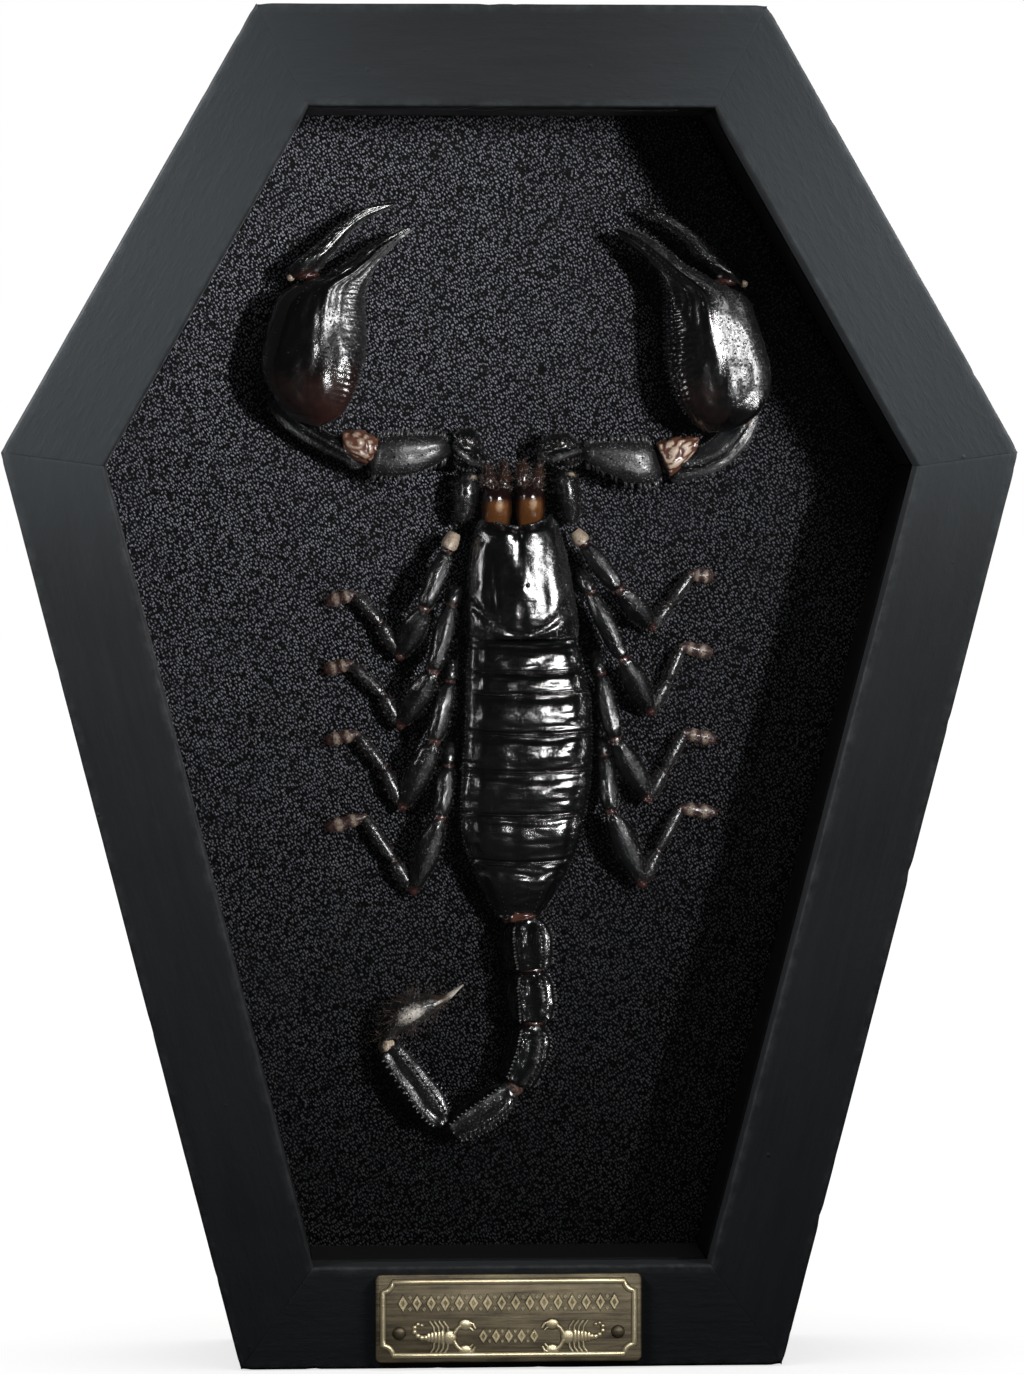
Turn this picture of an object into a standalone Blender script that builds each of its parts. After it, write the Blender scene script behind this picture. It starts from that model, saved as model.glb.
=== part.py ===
# A dried scorpion in a coffin-shaped shadow box, standing on its foot bar.
# Sizes below are in millimetres. The front faces -Y and the height runs along +Z.
import math

import bmesh
import bpy
from mathutils import Vector

MM = 0.001
GAP = 0.3
TRIM_GAP = 0.2

# The coffin outline: half widths of the top, the shoulders and the foot.
HEIGHT = 204.8
SHOULDER_Z = 137.9
TOP_HALF = 38.25
SHOULDER_HALF = 76.4
FOOT_HALF = 40.9
RAIL_WIDTH = 15.4
STILE_WIDTH = 14.4
BAR_DEPTH = 32.0
EDGE_ROUND = 0.45

# What lies behind the front lip, each depth counted from the frame's front.
LIP_DEPTH = 6.0
REBATE = 4.0
PANE_THICK = 2.0
BOARD_FRONT = 24.0
BOARD_THICK = 3.0
BACK_THICK = 2.4

# The nameplate and its two pins stand proud of the front.
PROUD = 1.6
PLATE_WIDTH = 40.2
PLATE_HEIGHT = 13.4
PLATE_THICK = 0.7
PLATE_CORNER = 0.9
PLATE_X = -0.6
BORDER_INSET = 1.05
BORDER_WIDTH = 0.35
BORDER_RISE = 0.25
BORDER_NOTCH = 1.5
RULE_RISE = 0.2
PIN_X = 16.5
PIN_DROP = 2.2
PIN_HEAD = 1.05
PIN_SHANK = 0.45
PIN_SIDES = 12

TAB_LENGTH = 9.0
TAB_WIDTH = 4.0
TAB_THICK = 0.5
HANGER_WIDTH = 44.0
HANGER_HEIGHT = 9.0
HANGER_THICK = 0.6
HANGER_TEETH = 10
HANGER_Z = 172.0

FRONT_Y = -(BAR_DEPTH + PROUD) / 2 + PROUD
BACK_Y = FRONT_Y + BAR_DEPTH
BOARD_Y = FRONT_Y + BOARD_FRONT
SPECIMEN_LIFT = 0.4

BAR_NAMES = (
    "frame_top", "frame_upper_right", "frame_lower_right",
    "frame_foot", "frame_lower_left", "frame_upper_left",
)
BAR_WIDTHS = (RAIL_WIDTH, STILE_WIDTH, STILE_WIDTH, RAIL_WIDTH, STILE_WIDTH, STILE_WIDTH)


def clear_scene():
    for old in list(bpy.data.objects):
        bpy.data.objects.remove(old, do_unlink=True)


def new_collection(name):
    made = bpy.data.collections.new(name)
    bpy.context.scene.collection.children.link(made)
    return made


def material(name, colour, roughness, metallic=0.0, alpha=1.0):
    made = bpy.data.materials.new(name)
    made.use_nodes = True
    shader = made.node_tree.nodes["Principled BSDF"]
    shader.inputs["Base Color"].default_value = (*colour, 1.0)
    shader.inputs["Roughness"].default_value = roughness
    shader.inputs["Metallic"].default_value = metallic
    shader.inputs["Alpha"].default_value = alpha
    return made


def place(obj, collection, finish=None):
    collection.objects.link(obj)
    if finish:
        obj.data.materials.clear()
        obj.data.materials.append(finish)
    return obj


# The corners of the outline, clockwise from the top left as seen from the front.
def outline():
    right = [(TOP_HALF, HEIGHT), (SHOULDER_HALF, SHOULDER_Z), (FOOT_HALF, 0.0)]
    left = [(-x, z) for x, z in reversed(right)]
    return [Vector(p) for p in [left[-1]] + right + left[:-1]]


# The outline with each side moved inwards by its own distance.
def inset(distances):
    corners = outline()
    lines = []
    for i, distance in enumerate(distances):
        start = corners[i]
        along = (corners[(i + 1) % 6] - start).normalized()
        inward = Vector((along.y, -along.x))
        lines.append((start + inward * distance, along))
    points = []
    for i in range(6):
        first, u = lines[i - 1]
        second, v = lines[i]
        cross = u.x * v.y - u.y * v.x
        reach = ((second - first).x * v.y - (second - first).y * v.x) / cross
        points.append(first + u * reach)
    return points


def inset_bars(extra):
    return inset([width + extra for width in BAR_WIDTHS])


# A flat outline in the XZ plane, extruded from one depth to another.
def slab(name, loops, front, back):
    curve = bpy.data.curves.new(name, "CURVE")
    curve.dimensions = "2D"
    curve.fill_mode = "BOTH"
    curve.extrude = (back - front) / 2 * MM
    for loop in loops:
        spline = curve.splines.new("POLY")
        spline.points.add(len(loop) - 1)
        spline.use_cyclic_u = True
        for point, (x, z) in zip(spline.points, loop):
            point.co = (x * MM, z * MM, 0.0, 1.0)
    guide = bpy.data.objects.new(name, curve)
    bpy.context.scene.collection.objects.link(guide)
    guide.rotation_euler.x = math.radians(90)
    guide.location.y = (front + back) / 2 * MM
    bpy.context.view_layer.update()
    source = guide.evaluated_get(bpy.context.evaluated_depsgraph_get())
    mesh = bpy.data.meshes.new_from_object(source)
    turned = guide.matrix_world.copy()
    bpy.data.objects.remove(guide, do_unlink=True)
    bm = bmesh.new()
    bm.from_mesh(mesh)
    bmesh.ops.remove_doubles(bm, verts=bm.verts, dist=0.00001)
    bmesh.ops.recalc_face_normals(bm, faces=bm.faces)
    bm.to_mesh(mesh)
    bm.free()
    made = bpy.data.objects.new(name, mesh)
    made.matrix_world = turned
    return made


def add_boolean(obj, other, operation):
    step = obj.modifiers.new(operation.lower(), "BOOLEAN")
    step.operation = operation
    step.solver = "EXACT"
    step.object = other
    return step


def add_bevel(obj, width, segments=1):
    step = obj.modifiers.new("rounded edges", "BEVEL")
    step.width = width * MM
    step.segments = segments
    step.limit_method = "ANGLE"
    step.angle_limit = math.radians(35)
    return step


def as_cutter(obj):
    place(obj, cutters)
    obj.hide_render = True
    obj.display_type = "WIRE"
    return obj


# Six mitred bars: each is cut back by half the gap at its ends and rebated behind the lip.
def build_frame():
    finish = material("black painted wood", (0.02, 0.023, 0.025), 0.55)
    outer = outline()
    inner = inset_bars(0.0)
    rebate = slab("rebate cutter", [inset_bars(-REBATE)], FRONT_Y + LIP_DEPTH, BACK_Y + 5.0)
    as_cutter(rebate)
    for i, name in enumerate(BAR_NAMES):
        j = (i + 1) % 6
        along = (outer[j] - outer[i]).normalized()
        corners = []
        for corner, mitre, turn in ((i, outer[i] - inner[i], 1), (j, outer[j] - inner[j], -1)):
            slope = abs(mitre.normalized().cross(along))
            back_off = along * (turn * GAP / 2 / slope)
            corners.append((outer[corner] + back_off, inner[corner] + back_off))
        loop = [corners[0][0], corners[1][0], corners[1][1], corners[0][1]]
        bar = place(slab(name, [loop], FRONT_Y, BACK_Y), parts, finish)
        add_boolean(bar, rebate, "DIFFERENCE")
        add_bevel(bar, EDGE_ROUND)


# The layers that lie in the rebate: pane, spacer strips, leatherette board, back board.
def build_layers():
    field = inset_bars(-REBATE + GAP)
    pane_front = FRONT_Y + LIP_DEPTH + GAP
    pane_back = pane_front + PANE_THICK
    pane = slab("clear_pane", [field], pane_front, pane_back)
    place(pane, parts, material("clear pane", (0.9, 0.93, 0.93), 0.02, alpha=0.12))

    strip_black = material("black strip", (0.012, 0.012, 0.013), 0.6)
    sill = inset_bars(0.0)
    for i, name in enumerate(BAR_NAMES):
        j = (i + 1) % 6
        along = (sill[j] - sill[i]).normalized()
        back_off = along * (GAP / 2)
        loop = [field[i] + back_off, field[j] - back_off, sill[j] - back_off, sill[i] + back_off]
        strip = slab(
            name.replace("frame", "spacer"), [loop], pane_back + GAP, BOARD_Y - GAP
        )
        place(strip, parts, strip_black)

    board_back = BOARD_Y + BOARD_THICK
    board = slab("leatherette_board", [field], BOARD_Y, board_back)
    place(board, parts, material("black leatherette", (0.025, 0.025, 0.028), 0.5))
    back_front = board_back + GAP
    back = slab("back_board", [field], back_front, back_front + BACK_THICK)
    place(back, parts, material("brown fibreboard", (0.23, 0.14, 0.08), 0.8))
    return back_front + BACK_THICK


# Bent tabs lie on the back board with one end at the rebate's wall.
def build_tabs(back_face):
    steel = material("zinc plated steel", (0.6, 0.6, 0.58), 0.35, 1.0)
    wall = inset_bars(-REBATE + TRIM_GAP)
    for i, name in enumerate(BAR_NAMES):
        start = wall[i]
        end = wall[(i + 1) % 6]
        along = (end - start).normalized()
        inward = Vector((along.y, -along.x))
        foot = start.lerp(end, 0.5)
        side = along * (TAB_WIDTH / 2)
        tip = foot + inward * TAB_LENGTH
        loop = [foot - side, foot + side, tip + side * 0.6, tip - side * 0.6]
        tab = slab(
            name.replace("frame", "tab"), [loop],
            back_face + TRIM_GAP, back_face + TRIM_GAP + TAB_THICK,
        )
        place(tab, parts, steel)


# A flat hanger with saw teeth along its lower slot edge, held by two round rivets.
def build_hanger(back_face):
    brass = material("brassed steel", (0.55, 0.42, 0.2), 0.35, 1.0)
    half = HANGER_WIDTH / 2
    low = HANGER_Z - HANGER_HEIGHT / 2
    high = HANGER_Z + HANGER_HEIGHT / 2
    pitch = HANGER_WIDTH * 0.6 / HANGER_TEETH
    loop = [(-half, high), (half, high), (half, low)]
    for i in range(HANGER_TEETH + 1):
        x = HANGER_WIDTH * 0.3 - i * pitch
        loop.append((x, low + 3.2))
        if i < HANGER_TEETH:
            loop.append((x - pitch / 2, low + 4.3))
    loop.append((-half, low))
    front = back_face + TRIM_GAP
    plate = place(slab("sawtooth_hanger", [loop], front, front + HANGER_THICK), parts, brass)
    for side, x in (("left", -half * 0.8), ("right", half * 0.8)):
        hole = disc_loop(x, HANGER_Z, 0.9, 12)
        cutter = as_cutter(slab("hanger hole " + side, [hole], front - 2, front + 4))
        add_boolean(plate, cutter, "DIFFERENCE")
        rivet = slab(
            "hanger_rivet_" + side, [disc_loop(x, HANGER_Z, 0.6, 12)], front, BACK_Y - 0.3
        )
        place(rivet, parts, brass)


def disc_loop(x, z, radius, count):
    step = 2 * math.pi / count
    return [
        (x + radius * math.cos(i * step), z + radius * math.sin(i * step)) for i in range(count)
    ]


# A rectangle whose corners are round, or hollowed out where the radius is negative.
def rectangle(centre_x, centre_z, width, height, radius, steps=4):
    points = []
    hollow = radius < 0
    r = abs(radius)
    for turn, (sx, sz) in enumerate(((1, 1), (-1, 1), (-1, -1), (1, -1))):
        corner_x = centre_x + sx * width / 2
        corner_z = centre_z + sz * height / 2
        start = math.radians(90 * turn)
        for k in range(steps + 1):
            if hollow:
                angle = start + math.radians(270 - 90 * k / steps)
                points.append((corner_x + r * math.cos(angle), corner_z + r * math.sin(angle)))
            else:
                angle = start + math.radians(90 * k / steps)
                x = corner_x - sx * r + r * math.cos(angle)
                points.append((x, corner_z - sz * r + r * math.sin(angle)))
    return points


# The nameplate keeps a plain raised border and two plain rules where words could stand.
def build_plate():
    brass = material("antique brass", (0.35, 0.27, 0.13), 0.4, 1.0)
    centre_z = RAIL_WIDTH / 2
    face = FRONT_Y - TRIM_GAP - PLATE_THICK
    outline_loop = rectangle(PLATE_X, centre_z, PLATE_WIDTH, PLATE_HEIGHT, PLATE_CORNER)
    plate = place(slab("nameplate", [outline_loop], face, FRONT_Y - TRIM_GAP), parts, brass)

    wide = PLATE_WIDTH - 2 * BORDER_INSET
    tall = PLATE_HEIGHT - 2 * BORDER_INSET
    thin = 2 * BORDER_WIDTH
    border = slab(
        "border",
        [
            rectangle(PLATE_X, centre_z, wide, tall, -BORDER_NOTCH),
            rectangle(PLATE_X, centre_z, wide - thin, tall - thin, -BORDER_NOTCH),
        ],
        face - BORDER_RISE, face + 0.2,
    )
    add_boolean(plate, as_cutter(border), "UNION")
    rows = ((PLATE_X, centre_z + 2.5, 30.0, 1.9), (PLATE_X, centre_z - 2.4, 11.0, 1.7))
    for i, (x, z, length, height) in enumerate(rows):
        lozenge = [
            (x - length / 2, z), (x, z - height / 2), (x + length / 2, z), (x, z + height / 2)
        ]
        rule = slab("rule " + str(i), [lozenge], face - RULE_RISE, face + 0.2)
        add_boolean(plate, as_cutter(rule), "UNION")
    for side, sign in (("left", -1), ("right", 1)):
        x = PLATE_X + sign * PIN_X
        z = centre_z - PIN_DROP
        hole = slab("pin hole " + side, [disc_loop(x, z, PIN_SHANK + GAP, 12)], face - 1, face + 2)
        add_boolean(plate, as_cutter(hole), "DIFFERENCE")
        place(turned_pin("plate_pin_" + side, x, z, face), parts, brass)


# A round-headed pin: half its profile turned about the pin's own axis.
def turned_pin(name, x, z, face):
    head_back = face - TRIM_GAP
    top = FRONT_Y - PROUD
    rise = head_back - top
    profile = [(0.0, top)]
    for k in range(1, 4):
        angle = math.radians(90 * k / 3)
        profile.append((PIN_HEAD * math.sin(angle), head_back - rise * math.cos(angle)))
    tip = FRONT_Y - TRIM_GAP / 2
    profile += [(PIN_SHANK, head_back), (PIN_SHANK, tip), (0.0, tip)]
    mesh = bpy.data.meshes.new(name)
    bm = bmesh.new()
    verts = [bm.verts.new((radius * MM, 0.0, -depth * MM)) for radius, depth in profile]
    for a, b in zip(verts, verts[1:]):
        bm.edges.new((a, b))
    bm.to_mesh(mesh)
    bm.free()
    pin = bpy.data.objects.new(name, mesh)
    pin.rotation_euler.x = math.radians(90)
    pin.location = (x * MM, 0.0, z * MM)
    screw = pin.modifiers.new("turned", "SCREW")
    screw.axis = "Z"
    screw.steps = PIN_SIDES
    screw.render_steps = PIN_SIDES
    screw.use_merge_vertices = True
    screw.merge_threshold = 0.00001
    return pin


# A point of the specimen: x and z across the board, height above the leatherette.
def at(x, z, height):
    return Vector((x, BOARD_Y - height, z + SPECIMEN_LIFT)) * MM


# One cross section runs from its left point over the top to its right point and back below.
# Row: left x, left z, right x, right z, low, high, bow of the middle, lift of the two keels.
def ring(row, sides):
    left_x, left_z, right_x, right_z, low, high, bow, keel = row
    across = Vector((right_x - left_x, right_z - left_z))
    length = across.length
    forward = Vector((-across.y, across.x)) / length if length else Vector((0, 1))
    waist = low + (high - low) * 0.42
    points = []
    for k in range(sides):
        angle = 2 * math.pi * (k + 0.5) / sides
        t = -math.cos(angle)
        s = math.sin(angle)
        height = waist + s * (high - waist if s > 0 else waist - low)
        if s > 0 and 0.45 < abs(t) < 0.8:
            height += keel
        mid = Vector((left_x + right_x, left_z + right_z)) / 2
        spot = mid + across * (t / 2) + forward * (bow * (1 - t * t))
        points.append(at(spot.x, spot.y, height))
    return points


def loft(name, rows, finish, sides=10):
    mesh = bpy.data.meshes.new(name)
    bm = bmesh.new()
    loops = [[bm.verts.new(p) for p in ring(row, sides)] for row in rows]
    for first, second in zip(loops, loops[1:]):
        for k in range(sides):
            n = (k + 1) % sides
            bm.faces.new((first[k], first[n], second[n], second[k]))
    for loop in (loops[0], loops[-1]):
        bm.faces.new(loop)
    bmesh.ops.poke(bm, faces=[face for face in bm.faces if len(face.verts) > 4])
    bmesh.ops.recalc_face_normals(bm, faces=bm.faces)
    bm.to_mesh(mesh)
    bm.free()
    mesh.shade_smooth()
    mesh.set_sharp_from_angle(angle=math.radians(40))
    return place(bpy.data.objects.new(name, mesh), parts, finish)


def full(row):
    return tuple(row) + (0.0,) * (8 - len(row))


# Rows read from a smooth curve through the given rows.
def smooth(rows, steps):
    rows = [full(row) for row in rows]
    made = []
    for i in range(len(rows) - 1):
        before = rows[max(i - 1, 0)]
        start, end = rows[i], rows[i + 1]
        after = rows[min(i + 2, len(rows) - 1)]
        for k in range(steps):
            t = k / steps
            made.append(tuple(
                0.5 * (2 * b + (c - a) * t + (2 * a - 5 * b + 4 * c - d) * t * t
                       + (3 * b - a - 3 * c + d) * t * t * t)
                for a, b, c, d in zip(before, start, end, after)
            ))
    made.append(rows[-1])
    return made


# Every second row pushed out at its left and right edges, as a row of teeth.
def toothed(rows, left, right):
    made = []
    for i, row in enumerate(rows):
        size = 1.0 if i % 2 and i < len(rows) - 1 else 0.0
        start = Vector(row[0:2])
        end = Vector(row[2:4])
        outward = (end - start).normalized()
        start -= outward * left * size
        end += outward * right * size
        made.append((*start, *end, *row[4:]))
    return made


# Every second row raised along its keels.
def keeled(rows, lift):
    return [row[:7] + (lift if i % 2 else 0.0,) for i, row in enumerate(rows)]


# Rows across a centre line: x, z, height of the middle, half width, half thickness.
def limb_rows(points):
    rows = []
    for i, (x, z, height, half_width, half_thick) in enumerate(points):
        here = Vector((x, z))
        before = Vector(points[max(i - 1, 0)][:2])
        after = Vector(points[min(i + 1, len(points) - 1)][:2])
        arriving = (here - before).normalized() if i else (after - here).normalized()
        leaving = (after - here).normalized() if i < len(points) - 1 else arriving
        along = (arriving + leaving).normalized()
        stretch = min(1.0 / max(along.dot(leaving), 0.5), 1.25)
        across = Vector((along.y, -along.x)) * half_width * stretch
        left, right = here - across, here + across
        rows.append((*left, *right, height - half_thick, height + half_thick, 0.0, 0.0))
    return rows


# A leg's seven joints, then for each article its places along it with half width and thickness.
LEG_ARTICLES = (
    ((0.1, 1.0, 1.4), (0.6, 1.3, 1.6)),
    ((0.05, 0.95, 1.3), (0.3, 1.45, 1.9), (0.7, 1.55, 1.9), (0.92, 1.15, 1.5)),
    ((0.1, 1.15, 1.5), (0.35, 1.8, 1.8), (0.62, 1.75, 1.7), (0.8, 1.1, 1.2), (1.0, 0.85, 0.9)),
    ((0.32, 0.8, 0.95), (0.65, 1.0, 1.0), (0.94, 0.75, 0.8)),
    ((0.25, 0.8, 0.85), (0.7, 0.85, 0.85), (1.0, 0.65, 0.7)),
    ((0.35, 0.85, 0.8), (0.7, 0.9, 0.8), (0.96, 0.5, 0.5)),
)

LEGS = {
    "leg_right_1": ((10.6, 125.4, 4.5), (12.1, 123.4, 5.5), (17.5, 116.4, 6.6), (22.8, 110.6, 2.6),
                    (25.5, 114.1, 2.4), (28.8, 118.6, 1.9), (32.3, 118.2, 1.2)),
    "leg_right_2": ((11.5, 119.2, 4.5), (13.0, 116.1, 5.5), (18.1, 105.7, 6.6), (22.6, 97.6, 2.6),
                    (25.1, 102.1, 2.4), (27.4, 107.5, 1.9), (32.2, 106.5, 1.2)),
    "leg_right_3": ((13.6, 106.6, 3.6), (14.6, 103.6, 4.6), (16.9, 93.4, 5.8), (22.2, 84.1, 2.6),
                    (24.8, 88.7, 2.4), (27.8, 94.2, 1.9), (32.7, 93.1, 1.2)),
    "leg_right_4": ((14.8, 93.6, 3.0), (15.2, 91.1, 4.0), (16.2, 82.4, 5.6), (21.3, 71.0, 2.6),
                    (23.7, 76.1, 2.4), (27.2, 82.6, 1.9), (32.8, 81.8, 1.2)),
    "leg_left_1": ((-7.6, 125.2, 4.5), (-8.9, 122.5, 5.5), (-12.5, 113.5, 6.6), (-16.0, 106.2, 2.6),
                   (-19.1, 111.3, 2.4), (-22.9, 115.7, 1.9), (-27.2, 114.5, 1.2)),
    "leg_left_2": ((-7.4, 116.9, 4.5), (-8.2, 114.4, 5.5), (-11.1, 103.9, 6.6), (-16.0, 95.6, 2.6),
                   (-18.6, 100.2, 2.4), (-23.5, 105.0, 1.9), (-27.6, 104.0, 1.2)),
    "leg_left_3": ((-7.9, 105.6, 3.6), (-8.5, 102.6, 4.6), (-10.9, 93.2, 5.8), (-15.7, 83.0, 2.6),
                   (-18.5, 89.0, 2.4), (-22.6, 94.2, 1.9), (-27.3, 93.1, 1.2)),
    "leg_left_4": ((-8.3, 93.0, 3.0), (-8.7, 89.6, 4.0), (-10.0, 81.6, 5.6), (-14.0, 70.1, 2.6),
                   (-17.0, 74.7, 2.4), (-21.5, 81.4, 1.9), (-27.2, 79.7, 1.2)),
}


def build_legs(finish):
    for name, joints in LEGS.items():
        points = []
        for i, article in enumerate(LEG_ARTICLES):
            start, end = Vector(joints[i]), Vector(joints[i + 1])
            for fraction, half_width, half_thick in article:
                points.append((*start.lerp(end, fraction), half_width, half_thick))
        loft(name, limb_rows(points), finish, sides=8)


# Carapace, abdomen and chelicerae.
def build_trunk(cuticle, amber):
    carapace = [
        (-2.9, 127.2, 6.7, 127.4, 2.6, 5.2, -1.7),
        (-4.5, 125.6, 8.3, 125.8, 1.4, 7.2, -1.2),
        (-5.5, 121.5, 9.5, 121.7, 0.8, 8.2),
        (-6.1, 115.5, 10.7, 115.7, 0.6, 8.8),
        (-6.2, 110.8, 11.3, 111.0, 0.6, 8.8),
        (-5.9, 108.9, 11.1, 109.1, 0.8, 8.2),
    ]
    loft("carapace", smooth(carapace, 2), cuticle, sides=14)

    rear_edges = (104.1, 100.8, 94.5, 88.7, 82.0, 74.7, 66.3)
    profile = (
        (108.4, -5.7, 11.2, 8.2), (104.1, -6.1, 12.2, 8.8), (99.5, -6.3, 13.2, 9.2),
        (93.4, -6.5, 13.4, 9.3), (87.3, -6.9, 13.2, 9.2), (81.2, -7.2, 12.2, 8.8),
        (76.7, -6.2, 11.2, 8.2), (72.0, -4.3, 9.2, 7.2), (69.0, -2.8, 7.4, 6.2), (66.3, -1.2, 5.6, 5.4),
    )

    # The profile's left, right and height at any z.
    def shape(z):
        for (z0, *first), (z1, *second) in zip(profile, profile[1:]):
            if z >= z1:
                t = (z0 - z) / (z0 - z1)
                return [a + (b - a) * t for a, b in zip(first, second)]
        return list(profile[-1][1:])

    # Each tergite starts a little below the rim of the one before it.
    rows = []
    start = 108.4
    for edge in rear_edges:
        for fraction, rise in ((0.05, -0.45), (0.45, 0.0), (0.85, 0.05), (0.98, 0.2)):
            z = start + (edge - start) * fraction
            left, right, high = shape(z)
            rows.append((left, z, right, z, 0.6, high + rise, -0.5))
        start = edge
    loft("abdomen", [full(row) for row in rows], cuticle, sides=14)

    for name, x, z in (("chelicera_left", -1.3, 127.4), ("chelicera_right", 3.8, 127.7)):
        rows = [
            (x - 2.0, z, x + 2.0, z, 4.0, 7.2),
            (x - 2.3, z + 1.8, x + 2.3, z + 1.8, 3.0, 8.0),
            (x - 2.2, z + 4.6, x + 2.2, z + 4.6, 2.8, 8.0),
            (x - 1.7, z + 6.6, x + 1.8, z + 6.6, 3.0, 7.2),
            (x - 0.7, z + 8.6, x + 0.8, z + 8.6, 3.4, 5.8),
        ]
        loft(name, smooth(rows, 2), amber, sides=8)


# The left pedipalp, from the body outwards. Rows run across each article.
def build_left_pedipalp(cuticle):
    loft("pedipalp_left_coxa", smooth([
        (-7.6, 126.8, -4.9, 127.4, 1.2, 5.0),
        (-7.9, 129.6, -4.0, 129.8, 0.8, 6.0),
        (-7.7, 132.4, -3.8, 132.4, 1.0, 6.0),
        (-6.9, 134.0, -4.4, 134.0, 1.6, 5.2),
    ], 2), cuticle, sides=8)
    loft("pedipalp_left_trochanter", smooth([
        (-3.3, 138.2, -3.6, 135.8, 2.0, 5.4),
        (-4.9, 141.2, -5.4, 134.6, 1.2, 7.0),
        (-7.0, 141.0, -7.3, 135.2, 1.4, 7.0),
        (-8.0, 139.6, -8.0, 136.4, 2.2, 5.8),
    ], 2), cuticle, sides=8)
    femur = smooth([
        (-8.5, 138.8, -8.4, 136.9, 2.4, 5.6),
        (-9.8, 139.9, -10.5, 135.7, 1.4, 7.4),
        (-13.0, 140.1, -13.8, 134.2, 0.9, 8.2),
        (-16.2, 140.1, -17.0, 133.7, 0.9, 8.4),
        (-18.6, 139.8, -19.8, 134.0, 1.2, 7.6),
        (-19.9, 138.9, -20.9, 134.9, 2.0, 6.2),
    ], 4)
    loft("pedipalp_left_femur", toothed(femur, 0.45, 0.45), cuticle)
    loft("pedipalp_left_patella", smooth([
        (-20.4, 139.4, -21.4, 135.6, 2.2, 5.2),
        (-22.4, 139.6, -22.2, 135.6, 1.6, 5.4),
        (-25.4, 139.8, -23.4, 135.4, 0.9, 6.6),
        (-27.4, 140.6, -26.2, 136.9, 0.8, 6.0),
        (-29.4, 142.2, -30.0, 138.8, 0.8, 4.4),
        (-31.8, 144.0, -34.0, 141.8, 0.8, 4.2),
        (-33.6, 146.0, -36.2, 145.0, 1.0, 3.8),
    ], 2), cuticle, sides=8)
    loft("pedipalp_left_hand", smooth([
        (-32.6, 142.6, -28.2, 141.4, 5.0, 8.0),
        (-34.0, 143.8, -25.6, 142.6, 4.9, 9.8),
        (-35.8, 146.4, -23.6, 145.4, 4.7, 11.0),
        (-37.0, 149.6, -22.0, 149.4, 2.6, 11.4),
        (-36.8, 154.1, -21.1, 154.4, 1.2, 11.2),
        (-35.8, 158.6, -21.3, 159.3, 1.2, 10.2),
        (-33.6, 162.2, -21.2, 162.6, 1.6, 8.8),
        (-27.4, 164.6, -20.3, 164.6, 2.4, 7.6),
        (-24.2, 166.4, -19.2, 166.2, 2.8, 7.2),
        (-21.4, 168.6, -17.8, 167.8, 3.2, 6.8),
        (-17.6, 170.6, -15.9, 169.9, 3.8, 6.2),
        (-14.8, 171.7, -14.3, 171.2, 4.4, 5.6),
    ], 2), cuticle, sides=12)
    loft("pedipalp_left_finger", smooth([
        (-33.3, 163.7, -27.6, 165.7, 2.6, 6.6),
        (-32.6, 166.2, -27.2, 167.0, 2.2, 7.4),
        (-29.7, 168.5, -25.8, 168.4, 2.4, 7.0),
        (-27.5, 170.5, -24.5, 170.1, 2.8, 6.6),
        (-25.4, 172.3, -23.0, 171.7, 3.2, 6.2),
        (-21.9, 174.7, -20.7, 173.3, 3.6, 5.8),
        (-17.3, 175.5, -17.1, 174.9, 4.2, 5.2),
    ], 2), cuticle, sides=8)


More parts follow.
